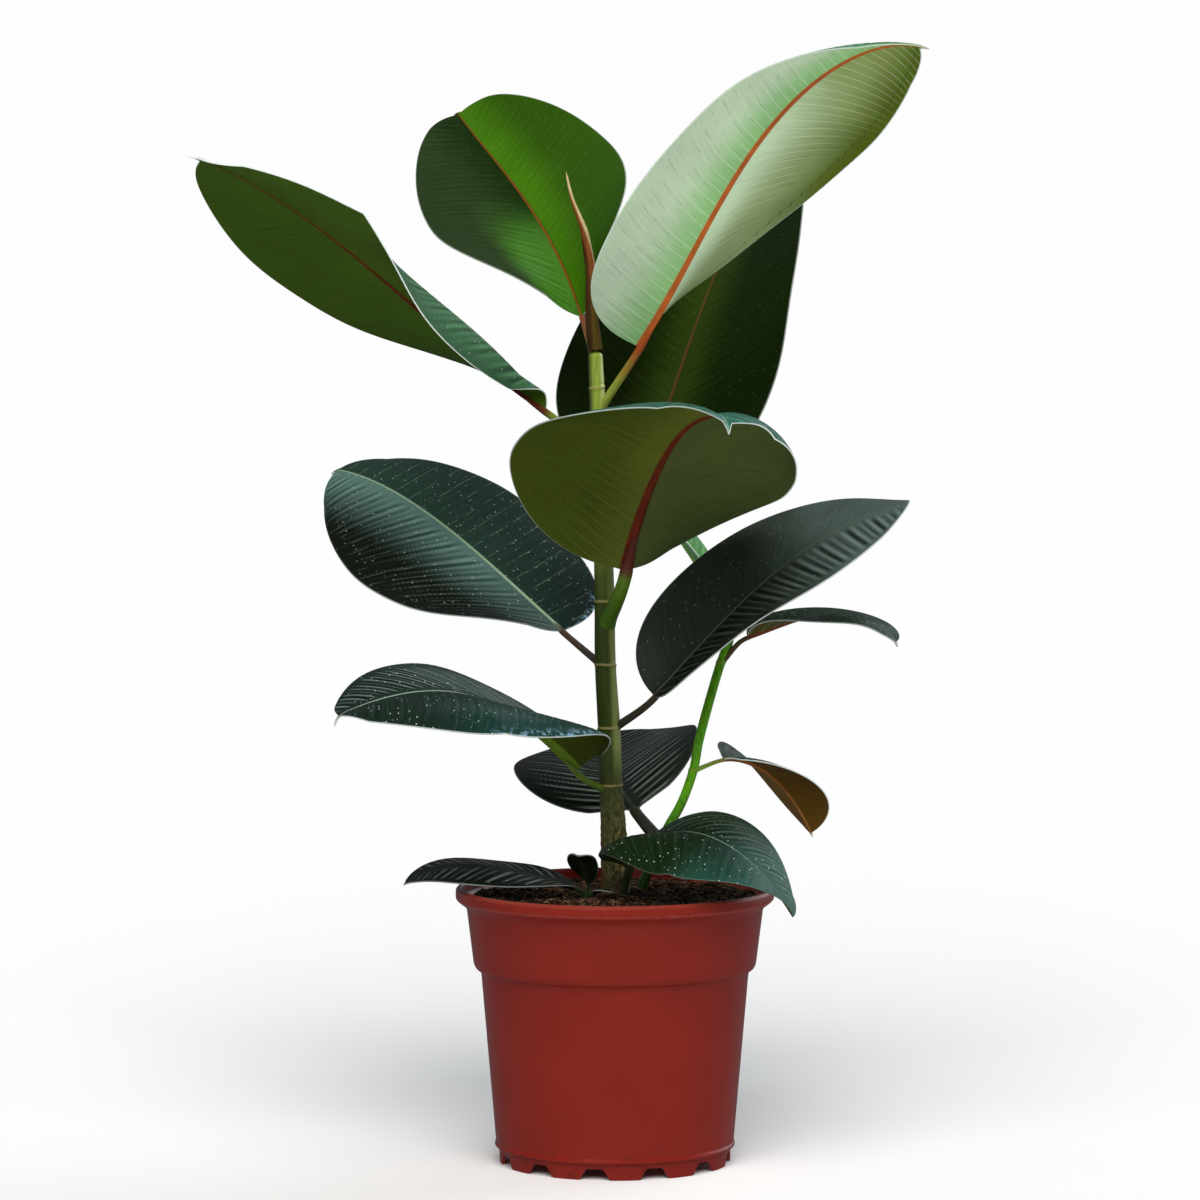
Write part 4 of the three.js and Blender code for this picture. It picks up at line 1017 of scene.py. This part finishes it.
def midrib(leaf, t):
    """The base point plus the sum of the forward direction over the length."""
    steps = 400
    middle = (np.arange(steps) + 0.5) / steps
    run = np.cumsum(directions(leaf, middle)[0], axis=0) * leaf["length"] / steps
    run = np.vstack([np.zeros(3), run]) + np.array(leaf["base"], float)
    return np.stack([np.interp(t, np.linspace(0, 1, steps + 1), run[:, i]) for i in range(3)], -1)


def section(leaf, t, share):
    """One half's section is an arc that leaves the midrib at the fold and bends by the curl: how far
    sideways and up each share of the half width lies, and its slope there."""
    t = t[:, None]
    on_left = share >= 0
    fold = np.radians(np.where(on_left, along(leaf["left_fold"], t), along(leaf["right_fold"], t)))
    curl = np.where(on_left, along(leaf["left_curl"], t), along(leaf["right_curl"], t))
    if "flap" in leaf:
        side, extra, reach = leaf["flap"]
        fades = extra * np.maximum(0, 1 - t / reach)
        curl = curl + np.where(on_left == (side == "left"), fades, 0)
    width = outline(leaf, t)
    bend = np.radians(curl) * np.minimum(1, width / BLADE["curl_width"])
    bend = np.where(np.abs(bend) < 1e-3, 1e-3, bend)
    end = fold + bend * np.abs(share)
    half = leaf["width"] / 2 * width
    sign = np.where(on_left, 1, -1)
    sideways = sign * half * (np.sin(end) - np.sin(fold)) / bend
    return sideways, half * (np.cos(fold) - np.cos(end)) / bend, sign * end


def column_places(half, scale, columns):
    """Distances from the midrib, row by row: close together on the midrib, evenly over the blade,
    and close together again where the margin rounds off. The midrib's half width and the width of
    the rounded margin come with them."""
    rib = np.minimum(BLADE["midrib"] * scale, 0.35 * half)[:, None]
    edge = np.minimum(BLADE["margin"], 0.1 * half)[:, None]
    half = half[:, None]
    inner = rib * np.array([0, 0.15, 0.3, 0.45, 0.65, 0.85])[None]
    spread = rib + (half - edge - rib) * np.linspace(0, 1, columns)[None]
    outer = half - edge * np.array([0.55, 0.25, 0.07, 0])[None]
    return np.concatenate([inner, spread, outer], 1), rib, edge


def ribbing(leaf, seed, t, x, half):
    """Ridges between the side veins. Each vein leaves the midrib at the angle whose cotangent is the
    sweep and bends towards the tip, so one number tells which vein a point lies by. The ridges are
    sines of it, raised to a power so that the crests are narrower than the furrows, stronger on some
    stretches than on others, and fade at the midrib and the margin."""
    out = np.abs(x)
    half = half[:, None]
    on_left = x >= 0
    sweep = np.where(on_left, *leaf.get("sweep", (RIBBING["sweep"], RIBBING["sweep"])))
    reach = out + RIBBING["bend"] * out ** 2 / np.maximum(leaf["width"] / 2, 1)
    vein = t[:, None] * leaf["length"] - sweep * reach
    wobble = vein + 1.1 * np.sin(vein / 13 + seed) + 0.5 * np.sin(vein / 4.7 + on_left * 2.0 + seed)
    wave = 0.5 + 0.5 * np.sin(2 * np.pi * wobble / RIBBING["pitch"])
    narrow = 2 * wave ** RIBBING["narrowness"] - 0.75
    second = np.sin(2 * np.pi * wobble / RIBBING["second_pitch"] + on_left)
    stretch = 0.8 + 0.2 * np.sin(vein / 21 + 2 * seed) * np.cos(out / 9 + seed)
    fade = ease(out, 1.2, 9) * (1 - ease(out / half, 0.72, 0.99)) * np.minimum(1, half / 14)
    height = np.where(on_left, *leaf["ridges"])
    return vein, height * (0.75 * narrow + 0.35 * second) * stretch * fade


def blade_rings(leaf, seed, rows, columns):
    """The blade as rings round its midrib: over the upper face from the left margin to the right one,
    and back under it. The upper face lies on the surface that midrib and sections give, the lower one
    a thickness below it, and they round off at the margins. The midrib is a groove with soft shoulders
    above and a keel below, and a slow ripple grows towards the margins."""
    u = np.linspace(0, 1, rows + 2)[1:-1]
    t = 0.5 - 0.5 * np.cos(np.pi * u)
    _, left, up = directions(leaf, t)
    spine = midrib(leaf, t)
    half = leaf["width"] / 2 * outline(leaf, t)
    scale = leaf["stalk"] / 4.5
    places, rib, edge = column_places(half, scale, columns)
    over = np.concatenate([places[:, ::-1], -places[:, 1:]], 1)
    x = np.concatenate([over, over[:, -2:0:-1]], 1)
    upper = np.zeros(x.shape[1])
    upper[:over.shape[1]] = 1
    upper[[0, over.shape[1] - 1]] = 0.5
    out = np.abs(x)
    share = x / half[:, None]
    t_row = t[:, None]
    sideways, upward, slope = section(leaf, t, share)
    ends = np.minimum(1, np.minimum(t, 1 - t) / 0.03)[:, None]
    lean = slope * ease(out, 0.3 * rib, 1.6 * rib) * ends
    normal = up[:, None] * np.cos(lean)[..., None] - left[:, None] * np.sin(lean)[..., None]
    vein, ridges = ribbing(leaf, seed, t, x, half)
    past = np.clip((out - (half[:, None] - edge)) / edge, 0, 1)
    thick = BLADE["thickness"] / 2 * np.sqrt(np.maximum(0, 1 - past ** 2))
    fine = (1 - 0.75 * t_row) * scale
    shoulders = 0.16 * bell(out - 2.1 * fine, 1.0 * fine)
    groove = (BLADE["groove"] * bell(out, 1.0 * fine) - shoulders) * ends
    keel = BLADE["keel"] * scale * (1 - t_row) ** 0.8 * bell(out, 1.5 * fine + 0.25)
    above, below = thick - groove * (1 - past), -thick - keel
    offset = np.where(upper > 0.6, above, np.where(upper < 0.4, below, 0)) + ridges
    wave = BLADE["ripple"] * share ** 2 * np.sin(t_row * leaf["length"] / 11 + seed + (x > 0)) * ends
    offset = offset - BLADE["thickness"] / 2 + wave * np.minimum(1, half / 20)[:, None]
    middle = spine[:, None] + left[:, None] * sideways[..., None] + up[:, None] * upward[..., None]
    facts = dict(vein=vein * MM, across=x * MM, margin=(half[:, None] - out) * MM,
                 span=t_row + 0 * x, upper=upper[None] + 0 * x, ridge=ridges / max(leaf["ridges"]))
    tips = np.array([0.0, 1.0])
    ends_at = midrib(leaf, tips) - directions(leaf, tips)[2] * BLADE["thickness"] / 2
    return middle + normal * offset[..., None], ends_at, facts


def stalk_rings(leaf, rows=40, sides=20):
    """The stalk: a cubic curve from its joint to under the blade's base, then on along the midrib,
    thinner and thinner, until it lies within the keel. Its section is flatter above."""
    forward, left, up = directions(leaf, np.array([0.0]))
    stalk = leaf["stalk"]
    joint = np.array(leaf["joint"], float)
    base = np.array(leaf["base"], float) - up[0] * stalk / 4
    reach = np.linalg.norm(base - joint)
    away = (base - joint) / reach
    a, b = joint + away * reach / 3, base - forward[0] * reach / 3
    u = np.linspace(0, 1, rows)[:, None]
    curve = joint * (1 - u) ** 3 + a * 3 * u * (1 - u) ** 2 + b * 3 * u * u * (1 - u) + base * u ** 3
    run = np.linspace(0, 1, 10)[1:]
    under = run * 2.6 * stalk / leaf["length"]
    sink = stalk / 4 + 0.05 * stalk * run
    tail = midrib(leaf, under) - directions(leaf, under)[2] * sink[:, None]
    path = np.vstack([curve, tail])
    grow = np.concatenate([1.1 - 0.28 * u[:, 0], 0.82 - 0.5 * run ** 1.3])
    grow[:rows] += 0.16 * bell(u[:, 0], 0.12) + 0.05 * bell(u[:, 0] - 1, 0.15)
    angle = turns(sides)
    section_shape = 1 - 0.14 * np.maximum(0, np.sin(angle)) ** 3
    radius = stalk / 2 * grow[:, None] * section_shape[None]
    rings = rings_along(path, radius, left[0])
    share = np.concatenate([u[:, 0] * 0.9, 0.9 + 0.1 * run])
    return rings, path[0], path[-1], share


def grown_leaf(leaf, seed, rows, columns):
    """Blade and stalk as one mesh, with the facts that their finishes read: the blade's own, and for
    the stalk how far along it and how high round it each point lies. Second marks its faces."""
    rings, ends, facts = blade_rings(leaf, seed, rows, columns)
    points, faces = close_rings(rings, *ends)
    stalk, start, end, along_stalk = stalk_rings(leaf)
    stalk_points, stalk_faces = close_rings(stalk, start, end)
    sides = stalk.shape[1]
    on_stalk = dict(span=np.repeat(along_stalk, sides),
                    upper=np.tile(np.sin(turns(sides)), len(along_stalk)))
    for key, value in facts.items():
        extra = on_stalk.get(key, np.zeros(len(along_stalk) * sides))
        facts[key] = np.concatenate([value.ravel(), value[0, :1], value[-1, :1],
                                     extra, extra[:1], extra[-1:]])
    second = np.repeat([0, 1], [sum(map(len, faces)), sum(map(len, stalk_faces))])
    faces = faces + [part + len(points) for part in stalk_faces]
    return np.vstack([points, stalk_points]), faces, facts, second


def leaf_finish(name, look):
    """The blade: its own colours above and below, streaked along the side veins, with a midrib, fine
    vein lines that end in a line along the margin, a painted highlight along the rim, and crisp
    specks of dust. The furrows between the ridges get painted shade and the ridge crests painted
    highlights, and some blades a painted bluish sheen along one margin and towards the tip."""
    f = Finish(name)
    vein, across, margin, span, upper, ridge = (
        f.fact(n) for n in ("vein", "across", "margin", "span", "upper", "ridge"))
    place = f.place()
    out = abs(across)
    left = f.step(across, -0.0008, 0.0008)
    away = f.step(out, 0.001, look["near"])
    uneven = f.noise(f.vector(vein * 70, left * 9, upper * 7), 1, 1)
    broad = f.noise(place, 30, 3)
    patchy = f.noise(place, 130, 3)
    run = vein + uneven * 0.003 + broad * 0.002
    streak = f.noise(f.vector(run * 900, out * 60, upper * 9), 1, 4, 0.6)

    def by_side(values):
        """The first value on the left half and the second on the right one."""
        return left * (values[0] - values[1]) + values[1]

    def on_half(side):
        """One on the left half (1), the right half (-1) or both (2), and nothing elsewhere."""
        return by_side((side > 0, side != 1))

    def wavering(value, amount):
        """A value that a broad noise shifts up and down by half the amount."""
        return value + (broad - 0.5) * amount

    def face(tones, tip):
        """A face's four colours, with the tip's tone over them towards the tip; on some leaves that
        tone is a painted sheen.
        """
        near_left, far_left, near_right, far_right = tones
        near = f.coated(paint(near_right), near_left, left)
        far = f.coated(paint(far_right), far_left, left)
        colour = f.mix(near, far, away)
        side, tone = tip
        if not side:
            return colour
        return f.coated(colour, tone, f.step(wavering(span, 0.3), 0.42, 0.88) * on_half(side))

    def from_base(colour):
        """The base's tone, laid over by the midrib where the blade begins."""
        side, tone = look["base"]
        if not side:
            return colour
        share = f.step(wavering(span, 0.3), 0.5, 0.15) * f.step(wavering(out, 0.02), 0.038, 0.014)
        return f.coated(colour, tone, share * on_half(side))

    def fringed(colour):
        """The fringe's tone, laid over along the margin except at the base."""
        side, tone, width = look["fringe"]
        if not side:
            return colour
        share = f.step(wavering(margin, 0.01), width, 0.001) * on_half(side)
        return f.coated(colour, tone, share * f.step(span, 0.2, 0.5))

    def lines(pitch, width, low):
        """Lines along the side veins; the higher the low value, the more broken they are."""
        from_line = abs(f.fraction(run / pitch) - 0.5) * pitch
        return f.step(from_line, width, width * 0.3) * f.step(patchy, low, low + 0.14)

    fine = (1 - span * 0.72) * look["rib_width"]

    # Painted shade: the furrows between the ridges are darkened.
    furrow_shade = f.most(ridge * look["furrow_shading"] * 1.4 + 1, 0.2)
    tone = wavering(1 - look["streaks"] * 0.5 + streak * look["streaks"], 0.4)
    tone = tone * (1 - f.step(span, 0.45, 0.02) * look["dim_base"])
    top = f.scaled(from_base(face(look["upper"], look["tip"])), tone * furrow_shade)
    # Painted highlight along the ridge crests.
    crest_highlight = f.step(ridge, 0.1, 0.6) * f.step(streak, 0.25, 0.5) * look["crests"]
    top = f.coated(top, look["crest_highlight"], crest_highlight)
    thin = lines(*BLADE_MARKS["thin_lines"], 0.42)
    top = f.coated(top, look["vein"], thin * look["lines"])
    flat = f.vector(vein, across, 0)
    dust = f.specks(flat, 180, 0.36, 0.07, True) + f.specks(flat, 430, 0.1, 0.11, True) * 0.6
    top = f.coated(top, "e4f0ea", dust * f.step(patchy, 0.3, 0.5) * look["dust"])
    # Painted sheen: a bluish reflection laid along one margin above.
    side, reach, width = look["margin_sheen"]
    if side:
        edge = f.step(margin, width, 0.001) * on_half(side) * f.step(span, reach, reach * 0.6)
        top = f.coated(top, "86b0cc", edge * f.step(f.noise(place, 330, 4), 0.47, 0.62) * 0.8)
    rib = f.step(out - fine * BLADE_MARKS["rib_above"], 0.0004, -0.0003)
    top = f.coated(top, look["rib_upper"], rib * 0.85)

    tone = streak * look["grain"] + broad * 0.35 + (0.82 - look["grain"] / 2)
    under = f.scaled(fringed(face(look["lower"], look["tip_below"])), tone)
    pale = lines(*BLADE_MARKS["pale_lines"], 0.24) * f.step(out, 0.052, 0.022)
    under = f.coated(under, look["vein"], pale * look["under_lines"])
    scallop = abs(f.fraction(run / BLADE_MARKS["dark_lines"][0]) - 0.5) * BLADE_MARKS["scallop"]
    from_hem = abs(margin - scallop - uneven * 0.003 - BLADE_MARKS["hem_inset"])
    hem = f.step(from_hem, 0.0004, 0.00015) * left * look["hem"]
    dark = lines(*BLADE_MARKS["dark_lines"], 0.44) * f.step(out, 0.003, 0.016)
    dark = dark * f.step(margin, 0.005, 0.006) * look["under_lines"]
    under = f.coated(under, look["dark_vein"], f.most(dark, hem))
    rib = f.step(out - fine * BLADE_MARKS["rib_below"], 0.0005, -0.0004)
    under = f.mix(under, f.scaled(paint(look["rib_lower"]), patchy + 0.5), rib * 0.95)

    colour = f.mix(under, top, f.step(upper, 0.4, 0.6))
    # Painted highlight: a thin pale line along the margin, stronger on one half than the other.
    rim = f.step(margin, *BLADE_MARKS["rim"]) * by_side(look["rim_highlights"])
    colour = f.coated(colour, "dfe9e4", rim)
    rough = look["rough"] + (1 - upper) * 0.12 + (streak - 0.5) * 0.12 + dust * upper * 0.2
    normal = f.bump(streak * 0.4 + thin * 0.4 + patchy * 0.2, 0.0003)
    return f.surface(colour, rough + broad * 0.08, normal, Coat_Weight=upper * look["gloss"],
                     Coat_Roughness=0.25, Specular_IOR_Level=0.06)


def stalk_finish(name, low, high, end):
    """The stalk: its own colour at the joint and by the blade, and the midrib's where it runs under
    the blade, streaked along."""
    f = Finish(name)
    share = f.fact("span")
    around = f.fact("upper")
    streak = f.noise(f.vector(share * 3, around * 30, 0.5), 1, 3)
    patch = f.noise(f.place(), 160, 3)
    colour = f.coated(paint(low), high, f.step(share + (patch - 0.5) * 0.4, 0.3, 0.95))
    colour = f.coated(colour, end, f.step(share + (patch - 0.5) * 0.12, 0.78, 0.93))
    colour = f.scaled(colour, 0.5 + streak * 0.75 + patch * 0.3)
    normal = f.bump(streak + patch * 0.4, 0.0003)
    return f.surface(colour, 0.4 + patch * 0.12, normal, Specular_IOR_Level=0.45)


# ---- Add-on ----------------------------------------------------------------------------------


class PotSettings(bpy.types.PropertyGroup):
    """The pot's size and colour."""

    colour: bpy.props.FloatVectorProperty(
        name="Pot colour", description="Colour of the moulded plastic", subtype="COLOR",
        default=paint("7c1b0f"), min=0, max=1)
    grime: bpy.props.FloatProperty(
        name="Soil on the rim", description="How much soil clings to the pot", subtype="FACTOR",
        default=0.8, min=0, max=1)


class SoilSettings(bpy.types.PropertyGroup):
    """The potting mix."""

    colour: bpy.props.FloatVectorProperty(
        name="Soil colour", description="Colour of the potting mix", subtype="COLOR",
        default=paint("34241a"), min=0, max=1)
    crumbs: bpy.props.IntProperty(
        name="Crumbs", description="Number of loose crumbs on the soil", default=1500, min=0,
        max=4000)
    fibres: bpy.props.IntProperty(
        name="Fibres", description="Number of loose fibres on the soil", default=1500, min=0,
        max=4000)


class StemSettings(bpy.types.PropertyGroup):
    """The stems."""

    young: bpy.props.FloatVectorProperty(
        name="Young stem", description="Colour of the stem's young upper part", subtype="COLOR",
        default=paint("8fa43a"), min=0, max=1)
    sheath: bpy.props.FloatVectorProperty(
        name="Bud sheath", description="Colour of the sheath round the growing tip", subtype="COLOR",
        default=paint("8a4a22"), min=0, max=1)
    cork: bpy.props.FloatProperty(
        name="Cork height", description="Height above the ground up to which the stem is corky",
        subtype="DISTANCE", unit="LENGTH", default=0.225, min=0.15, max=0.4)


class LeafSettings(bpy.types.PropertyGroup):
    """The leaves."""

    ridges: bpy.props.FloatProperty(
        name="Ribbing", description="How strongly the blades are ribbed between their side veins",
        subtype="FACTOR", default=1.0, min=0, max=2)
    rows: bpy.props.IntProperty(
        name="Rows", description="Rows of faces along the longest blade", default=300, min=40,
        max=500)


class StageSettings(bpy.types.PropertyGroup):
    """Floor, light and camera."""

    floor: bpy.props.FloatVectorProperty(
        name="Floor colour", description="Colour of the plain floor", subtype="COLOR",
        default=(0.96, 0.96, 0.96), min=0, max=1)
    focal_length: bpy.props.FloatProperty(
        name="Focal length", description="The camera's focal length in millimetres", default=157.4,
        min=20, max=400)
    key: bpy.props.FloatProperty(
        name="Key light", description="Strength of the main light", default=3.22, min=0, max=20)


class PlantSettings(bpy.types.PropertyGroup):
    """All that a user would change."""

    pot: bpy.props.PointerProperty(type=PotSettings, name="Pot", description="The pot")
    soil: bpy.props.PointerProperty(type=SoilSettings, name="Soil", description="The soil")
    stem: bpy.props.PointerProperty(type=StemSettings, name="Stem", description="The stems")
    leaf: bpy.props.PointerProperty(type=LeafSettings, name="Leaves", description="The leaves")
    stage: bpy.props.PointerProperty(type=StageSettings, name="Stage", description="Floor and light")


class PLANT_OT_pot(bpy.types.Operator):
    """Make the pot with its feet and drain holes"""

    bl_idname = "plant.pot"
    bl_label = "Pot"

    def execute(self, context):
        rings = pot_points()
        floor, top = POT["floor_height"], POT["floor_height"] + POT["wall"]
        points, faces = close_rings(rings, (0, 0, floor), (0, 0, top))
        faces = [f[:, ::-1] for f in faces]
        pot = make_piece("nursery_pot", points, faces, [plastic_finish(context.scene.plant.pot)],
                         "pot_plastic", ["pot"])
        cut_drains(pot)
        pot.data.set_sharp_from_angle(angle=math.radians(50))
        return {"FINISHED"}


def cut_drains(pot):
    """Cut the round drain holes through the floor."""
    circle = circles(DRAINS["radius"], 0, turns(32))
    points, faces = [], []
    for i in range(DRAINS["count"]):
        centre = circles(DRAINS["ring"], 0, (i + 0.5) * 2 * np.pi / DRAINS["count"])
        low = centre + (0, 0, POT["floor_height"] - 1)
        high = centre + (0, 0, POT["floor_height"] + POT["wall"] + 1)
        p, f = close_rings(np.stack([circle + low, circle + high]), low, high)
        faces += [part + sum(map(len, points)) for part in f]
        points.append(p)
    cutter = make_piece("drain_cutter", np.vstack(points), faces, [], "pot_plastic")
    tool = pot.modifiers.new("drains", "BOOLEAN")
    tool.object, tool.operation, tool.solver = cutter, "DIFFERENCE", "EXACT"
    depsgraph = bpy.context.evaluated_depsgraph_get()
    cut = bpy.data.meshes.new_from_object(pot.evaluated_get(depsgraph))
    pot.modifiers.clear()
    whole, pot.data = pot.data, cut
    name, spare = whole.name, cutter.data
    bpy.data.objects.remove(cutter)
    bpy.data.meshes.remove(whole)
    bpy.data.meshes.remove(spare)
    cut.name = name


class PLANT_OT_soil(bpy.types.Operator):
    """Make the potting mix with its crumbs, bark and fibres"""

    bl_idname = "plant.soil"
    bl_label = "Soil"

    def execute(self, context):
        settings = context.scene.plant.soil
        points, faces = soil_surface()
        make_piece("potting_mix", points, faces, [soil_finish(settings)], "potting_soil", ["soil"])
        for name, dark, pale, shape in (
                ("soil_crumbs", "1a100b", "3e2a1e", soil_crumbs(settings.crumbs)),
                ("soil_bark", "20140e", "4e3424", soil_flakes(420, 17, 2.6, 0.5)),
                ("soil_chips", "54382a", "86644a", soil_flakes(170, 19, 1.2, 0.5)),
                ("soil_fibres", "4c3424", "b08c6c", soil_fibres(settings.fibres))):
            make_piece(name, *shape, [bits_finish(name, dark, pale)], "potting_soil")
        return {"FINISHED"}


class PLANT_OT_stems(bpy.types.Operator):
    """Make the main stem, the side stem and the low shoot"""

    bl_idname = "plant.stems"
    bl_label = "Stems"

    def execute(self, context):
        settings = context.scene.plant.stem
        points, faces = stem_points(MAIN_STEM, 520, 96, settings.cork / MM)
        make_piece("main_stem_bark", points, faces, [bark_finish(settings)], "bark", ["main_stem"])
        for node, stem, rows, sides, base, deep in (
                ("side_stem", SIDE_STEM, 260, 40, "5aa010", "3c7c0e"),
                ("low_shoot", LOW_SHOOT, 60, 32, "3c4c1c", "232c12")):
            skin = green_stem_finish(node + "_skin", base, deep, stem["rings"])
            points, faces = stem_points(stem, rows, sides)
            make_piece(node + "_skin", points, faces, [skin], "green_stem", [node])
        return {"FINISHED"}


class PLANT_OT_sheath(bpy.types.Operator):
    """Make the sheath round the growing tip"""

    bl_idname = "plant.sheath"
    bl_label = "Bud sheath"

    def execute(self, context):
        points, faces = sheath_points()
        finish = sheath_finish(context.scene.plant.stem)
        make_piece("bud_sheath_skin", points, faces, [finish], "bud_sheath", ["bud_sheath"])
        return {"FINISHED"}


class PLANT_OT_leaves(bpy.types.Operator):
    """Make all the leaves, each a blade and its stalk in one mesh"""

    bl_idname = "plant.leaves"
    bl_label = "Leaves"

    def execute(self, context):
        settings = context.scene.plant.leaf
        slots = {s["node"]: s["material_slot"] for s in frame["record"]["subparts"]}
        for seed, (name, leaf) in enumerate(LEAVES.items()):
            look = dict(PLAIN_LOOK, **LOOKS[leaf["look"]])
            share = min(1.0, 0.25 + leaf["length"] / 250)
            rows, columns = int(settings.rows * share), int(8 + 22 * share)
            leaf = dict(leaf, ridges=[r * settings.ridges for r in leaf["ridges"]])
            points, faces, facts, second = grown_leaf(leaf, seed, rows, columns)
            finishes = [leaf_finish(name + "_blade", look),
                        stalk_finish(name + "_stalk", *look["stalk"], look["rib_lower"])]
            make_piece(name + "_grown", points, faces, finishes, slots[name], [name], facts, second)
        return {"FINISHED"}


class PLANT_OT_stage(bpy.types.Operator):
    """Make the floor, the soft light and the camera"""

    bl_idname = "plant.stage"
    bl_label = "Stage"

    def execute(self, context):
        scene = context.scene
        settings = scene.plant.stage
        floor = make_floor(settings)
        lamps = {name: add_sun(name, settings.key, *light) for name, light in LIGHTS.items()}
        lamps["key_light"].visible_glossy = floor.visible_glossy = False
        lamps["strip_light"].visible_diffuse = False
        make_world(scene)
        add_camera(scene, settings)
        scene.view_settings.view_transform = "Standard"
        return {"FINISHED"}


def make_floor(settings):
    """A wide disc: rings out to thirty metres at the height of the pot's feet."""
    sides = 96
    rings = circles(np.array(FLOOR_RINGS)[:, None], 0, turns(sides)).reshape(-1, 3)
    quads = ring_quads(len(FLOOR_RINGS), sides)[:, [0, 3, 2, 1]]
    points = np.vstack([rings, [(0, 0, 0)]])
    mesh = bpy.data.meshes.new("floor")
    mesh.from_pydata(points.tolist(), [], quads.tolist() + fan(len(rings), 0, sides).tolist())
    f = Finish("floor")
    mesh.materials.append(f.surface(tuple(settings.floor), 0.9, Specular_IOR_Level=0.0))
    floor = bpy.data.objects.new("floor", mesh)
    bpy.context.scene.collection.objects.link(floor)
    return floor


def add_sun(name, key, side, height, share, softness, colour):
    """A distant light, turned so that it comes from that side and height, with its share of the main
    light's strength."""
    light = bpy.data.lights.new(name, "SUN")
    light.energy, light.angle, light.color = key * share, math.radians(softness), colour
    lamp = bpy.data.objects.new(name, light)
    lamp.rotation_euler = (math.radians(90 - height), 0, math.radians(side + 90))
    bpy.context.scene.collection.objects.link(lamp)
    return lamp


def make_world(scene):
    """A soft even room light, with a white backdrop behind the object."""
    world = bpy.data.worlds.new("studio")
    world.use_nodes = True
    tree = world.node_tree
    tree.nodes.clear()
    room, backdrop = (tree.nodes.new("ShaderNodeBackground") for _ in range(2))
    room.inputs["Color"].default_value = (*ROOM["tint"], 1)
    room.inputs["Strength"].default_value = ROOM["light"]
    backdrop.inputs["Color"].default_value = (*ROOM["backdrop"], 1)
    path = tree.nodes.new("ShaderNodeLightPath")
    mix = tree.nodes.new("ShaderNodeMixShader")
    out = tree.nodes.new("ShaderNodeOutputWorld")
    tree.links.new(path.outputs["Is Camera Ray"], mix.inputs[0])
    tree.links.new(room.outputs[0], mix.inputs[1])
    tree.links.new(backdrop.outputs[0], mix.inputs[2])
    tree.links.new(mix.outputs[0], out.inputs[0])
    scene.world = world


def add_camera(scene, settings):
    """The camera stands 2.8 m in front of the pot at the height of the upper leaves, and looks
    four degrees down."""
    lens = bpy.data.cameras.new("camera")
    lens.lens, lens.sensor_width = settings.focal_length, CAMERA["film"]
    lens.clip_end = CAMERA["reach"]
    camera = bpy.data.objects.new("camera", lens)
    camera.location = AXIS + np.array(CAMERA["place"]) * MM
    camera.rotation_euler = (math.radians(90 - CAMERA["tilt"]), 0, 0)
    scene.collection.objects.link(camera)
    scene.camera = camera


class PLANT_PT_panel(bpy.types.Panel):
    """The plant's settings and the steps that make it"""

    bl_idname = "PLANT_PT_panel"
    bl_label = "Rubber Plant"
    bl_space_type = "VIEW_3D"
    bl_region_type = "UI"
    bl_category = "Plant"

    def draw(self, context):
        settings = context.scene.plant
        for group in (settings.pot, settings.soil, settings.stem, settings.leaf, settings.stage):
            box = self.layout.box()
            for key in type(group).__annotations__:
                box.prop(group, key)
        for operator in OPERATORS:
            self.layout.operator(operator.bl_idname)


OPERATORS = [PLANT_OT_pot, PLANT_OT_soil, PLANT_OT_stems, PLANT_OT_sheath, PLANT_OT_leaves,
             PLANT_OT_stage]
CLASSES = [PotSettings, SoilSettings, StemSettings, LeafSettings, StageSettings, PlantSettings,
           *OPERATORS, PLANT_PT_panel]


def register():
    for cls in CLASSES:
        bpy.utils.register_class(cls)
    bpy.types.Scene.plant = bpy.props.PointerProperty(type=PlantSettings)


def unregister():
    del bpy.types.Scene.plant
    for cls in reversed(CLASSES):
        bpy.utils.unregister_class(cls)


def main():
    """Make every piece in order."""
    register()
    for operator in OPERATORS:
        group, name = operator.bl_idname.split(".")
        getattr(getattr(bpy.ops, group), name)()


if __name__ == "__main__":
    main()
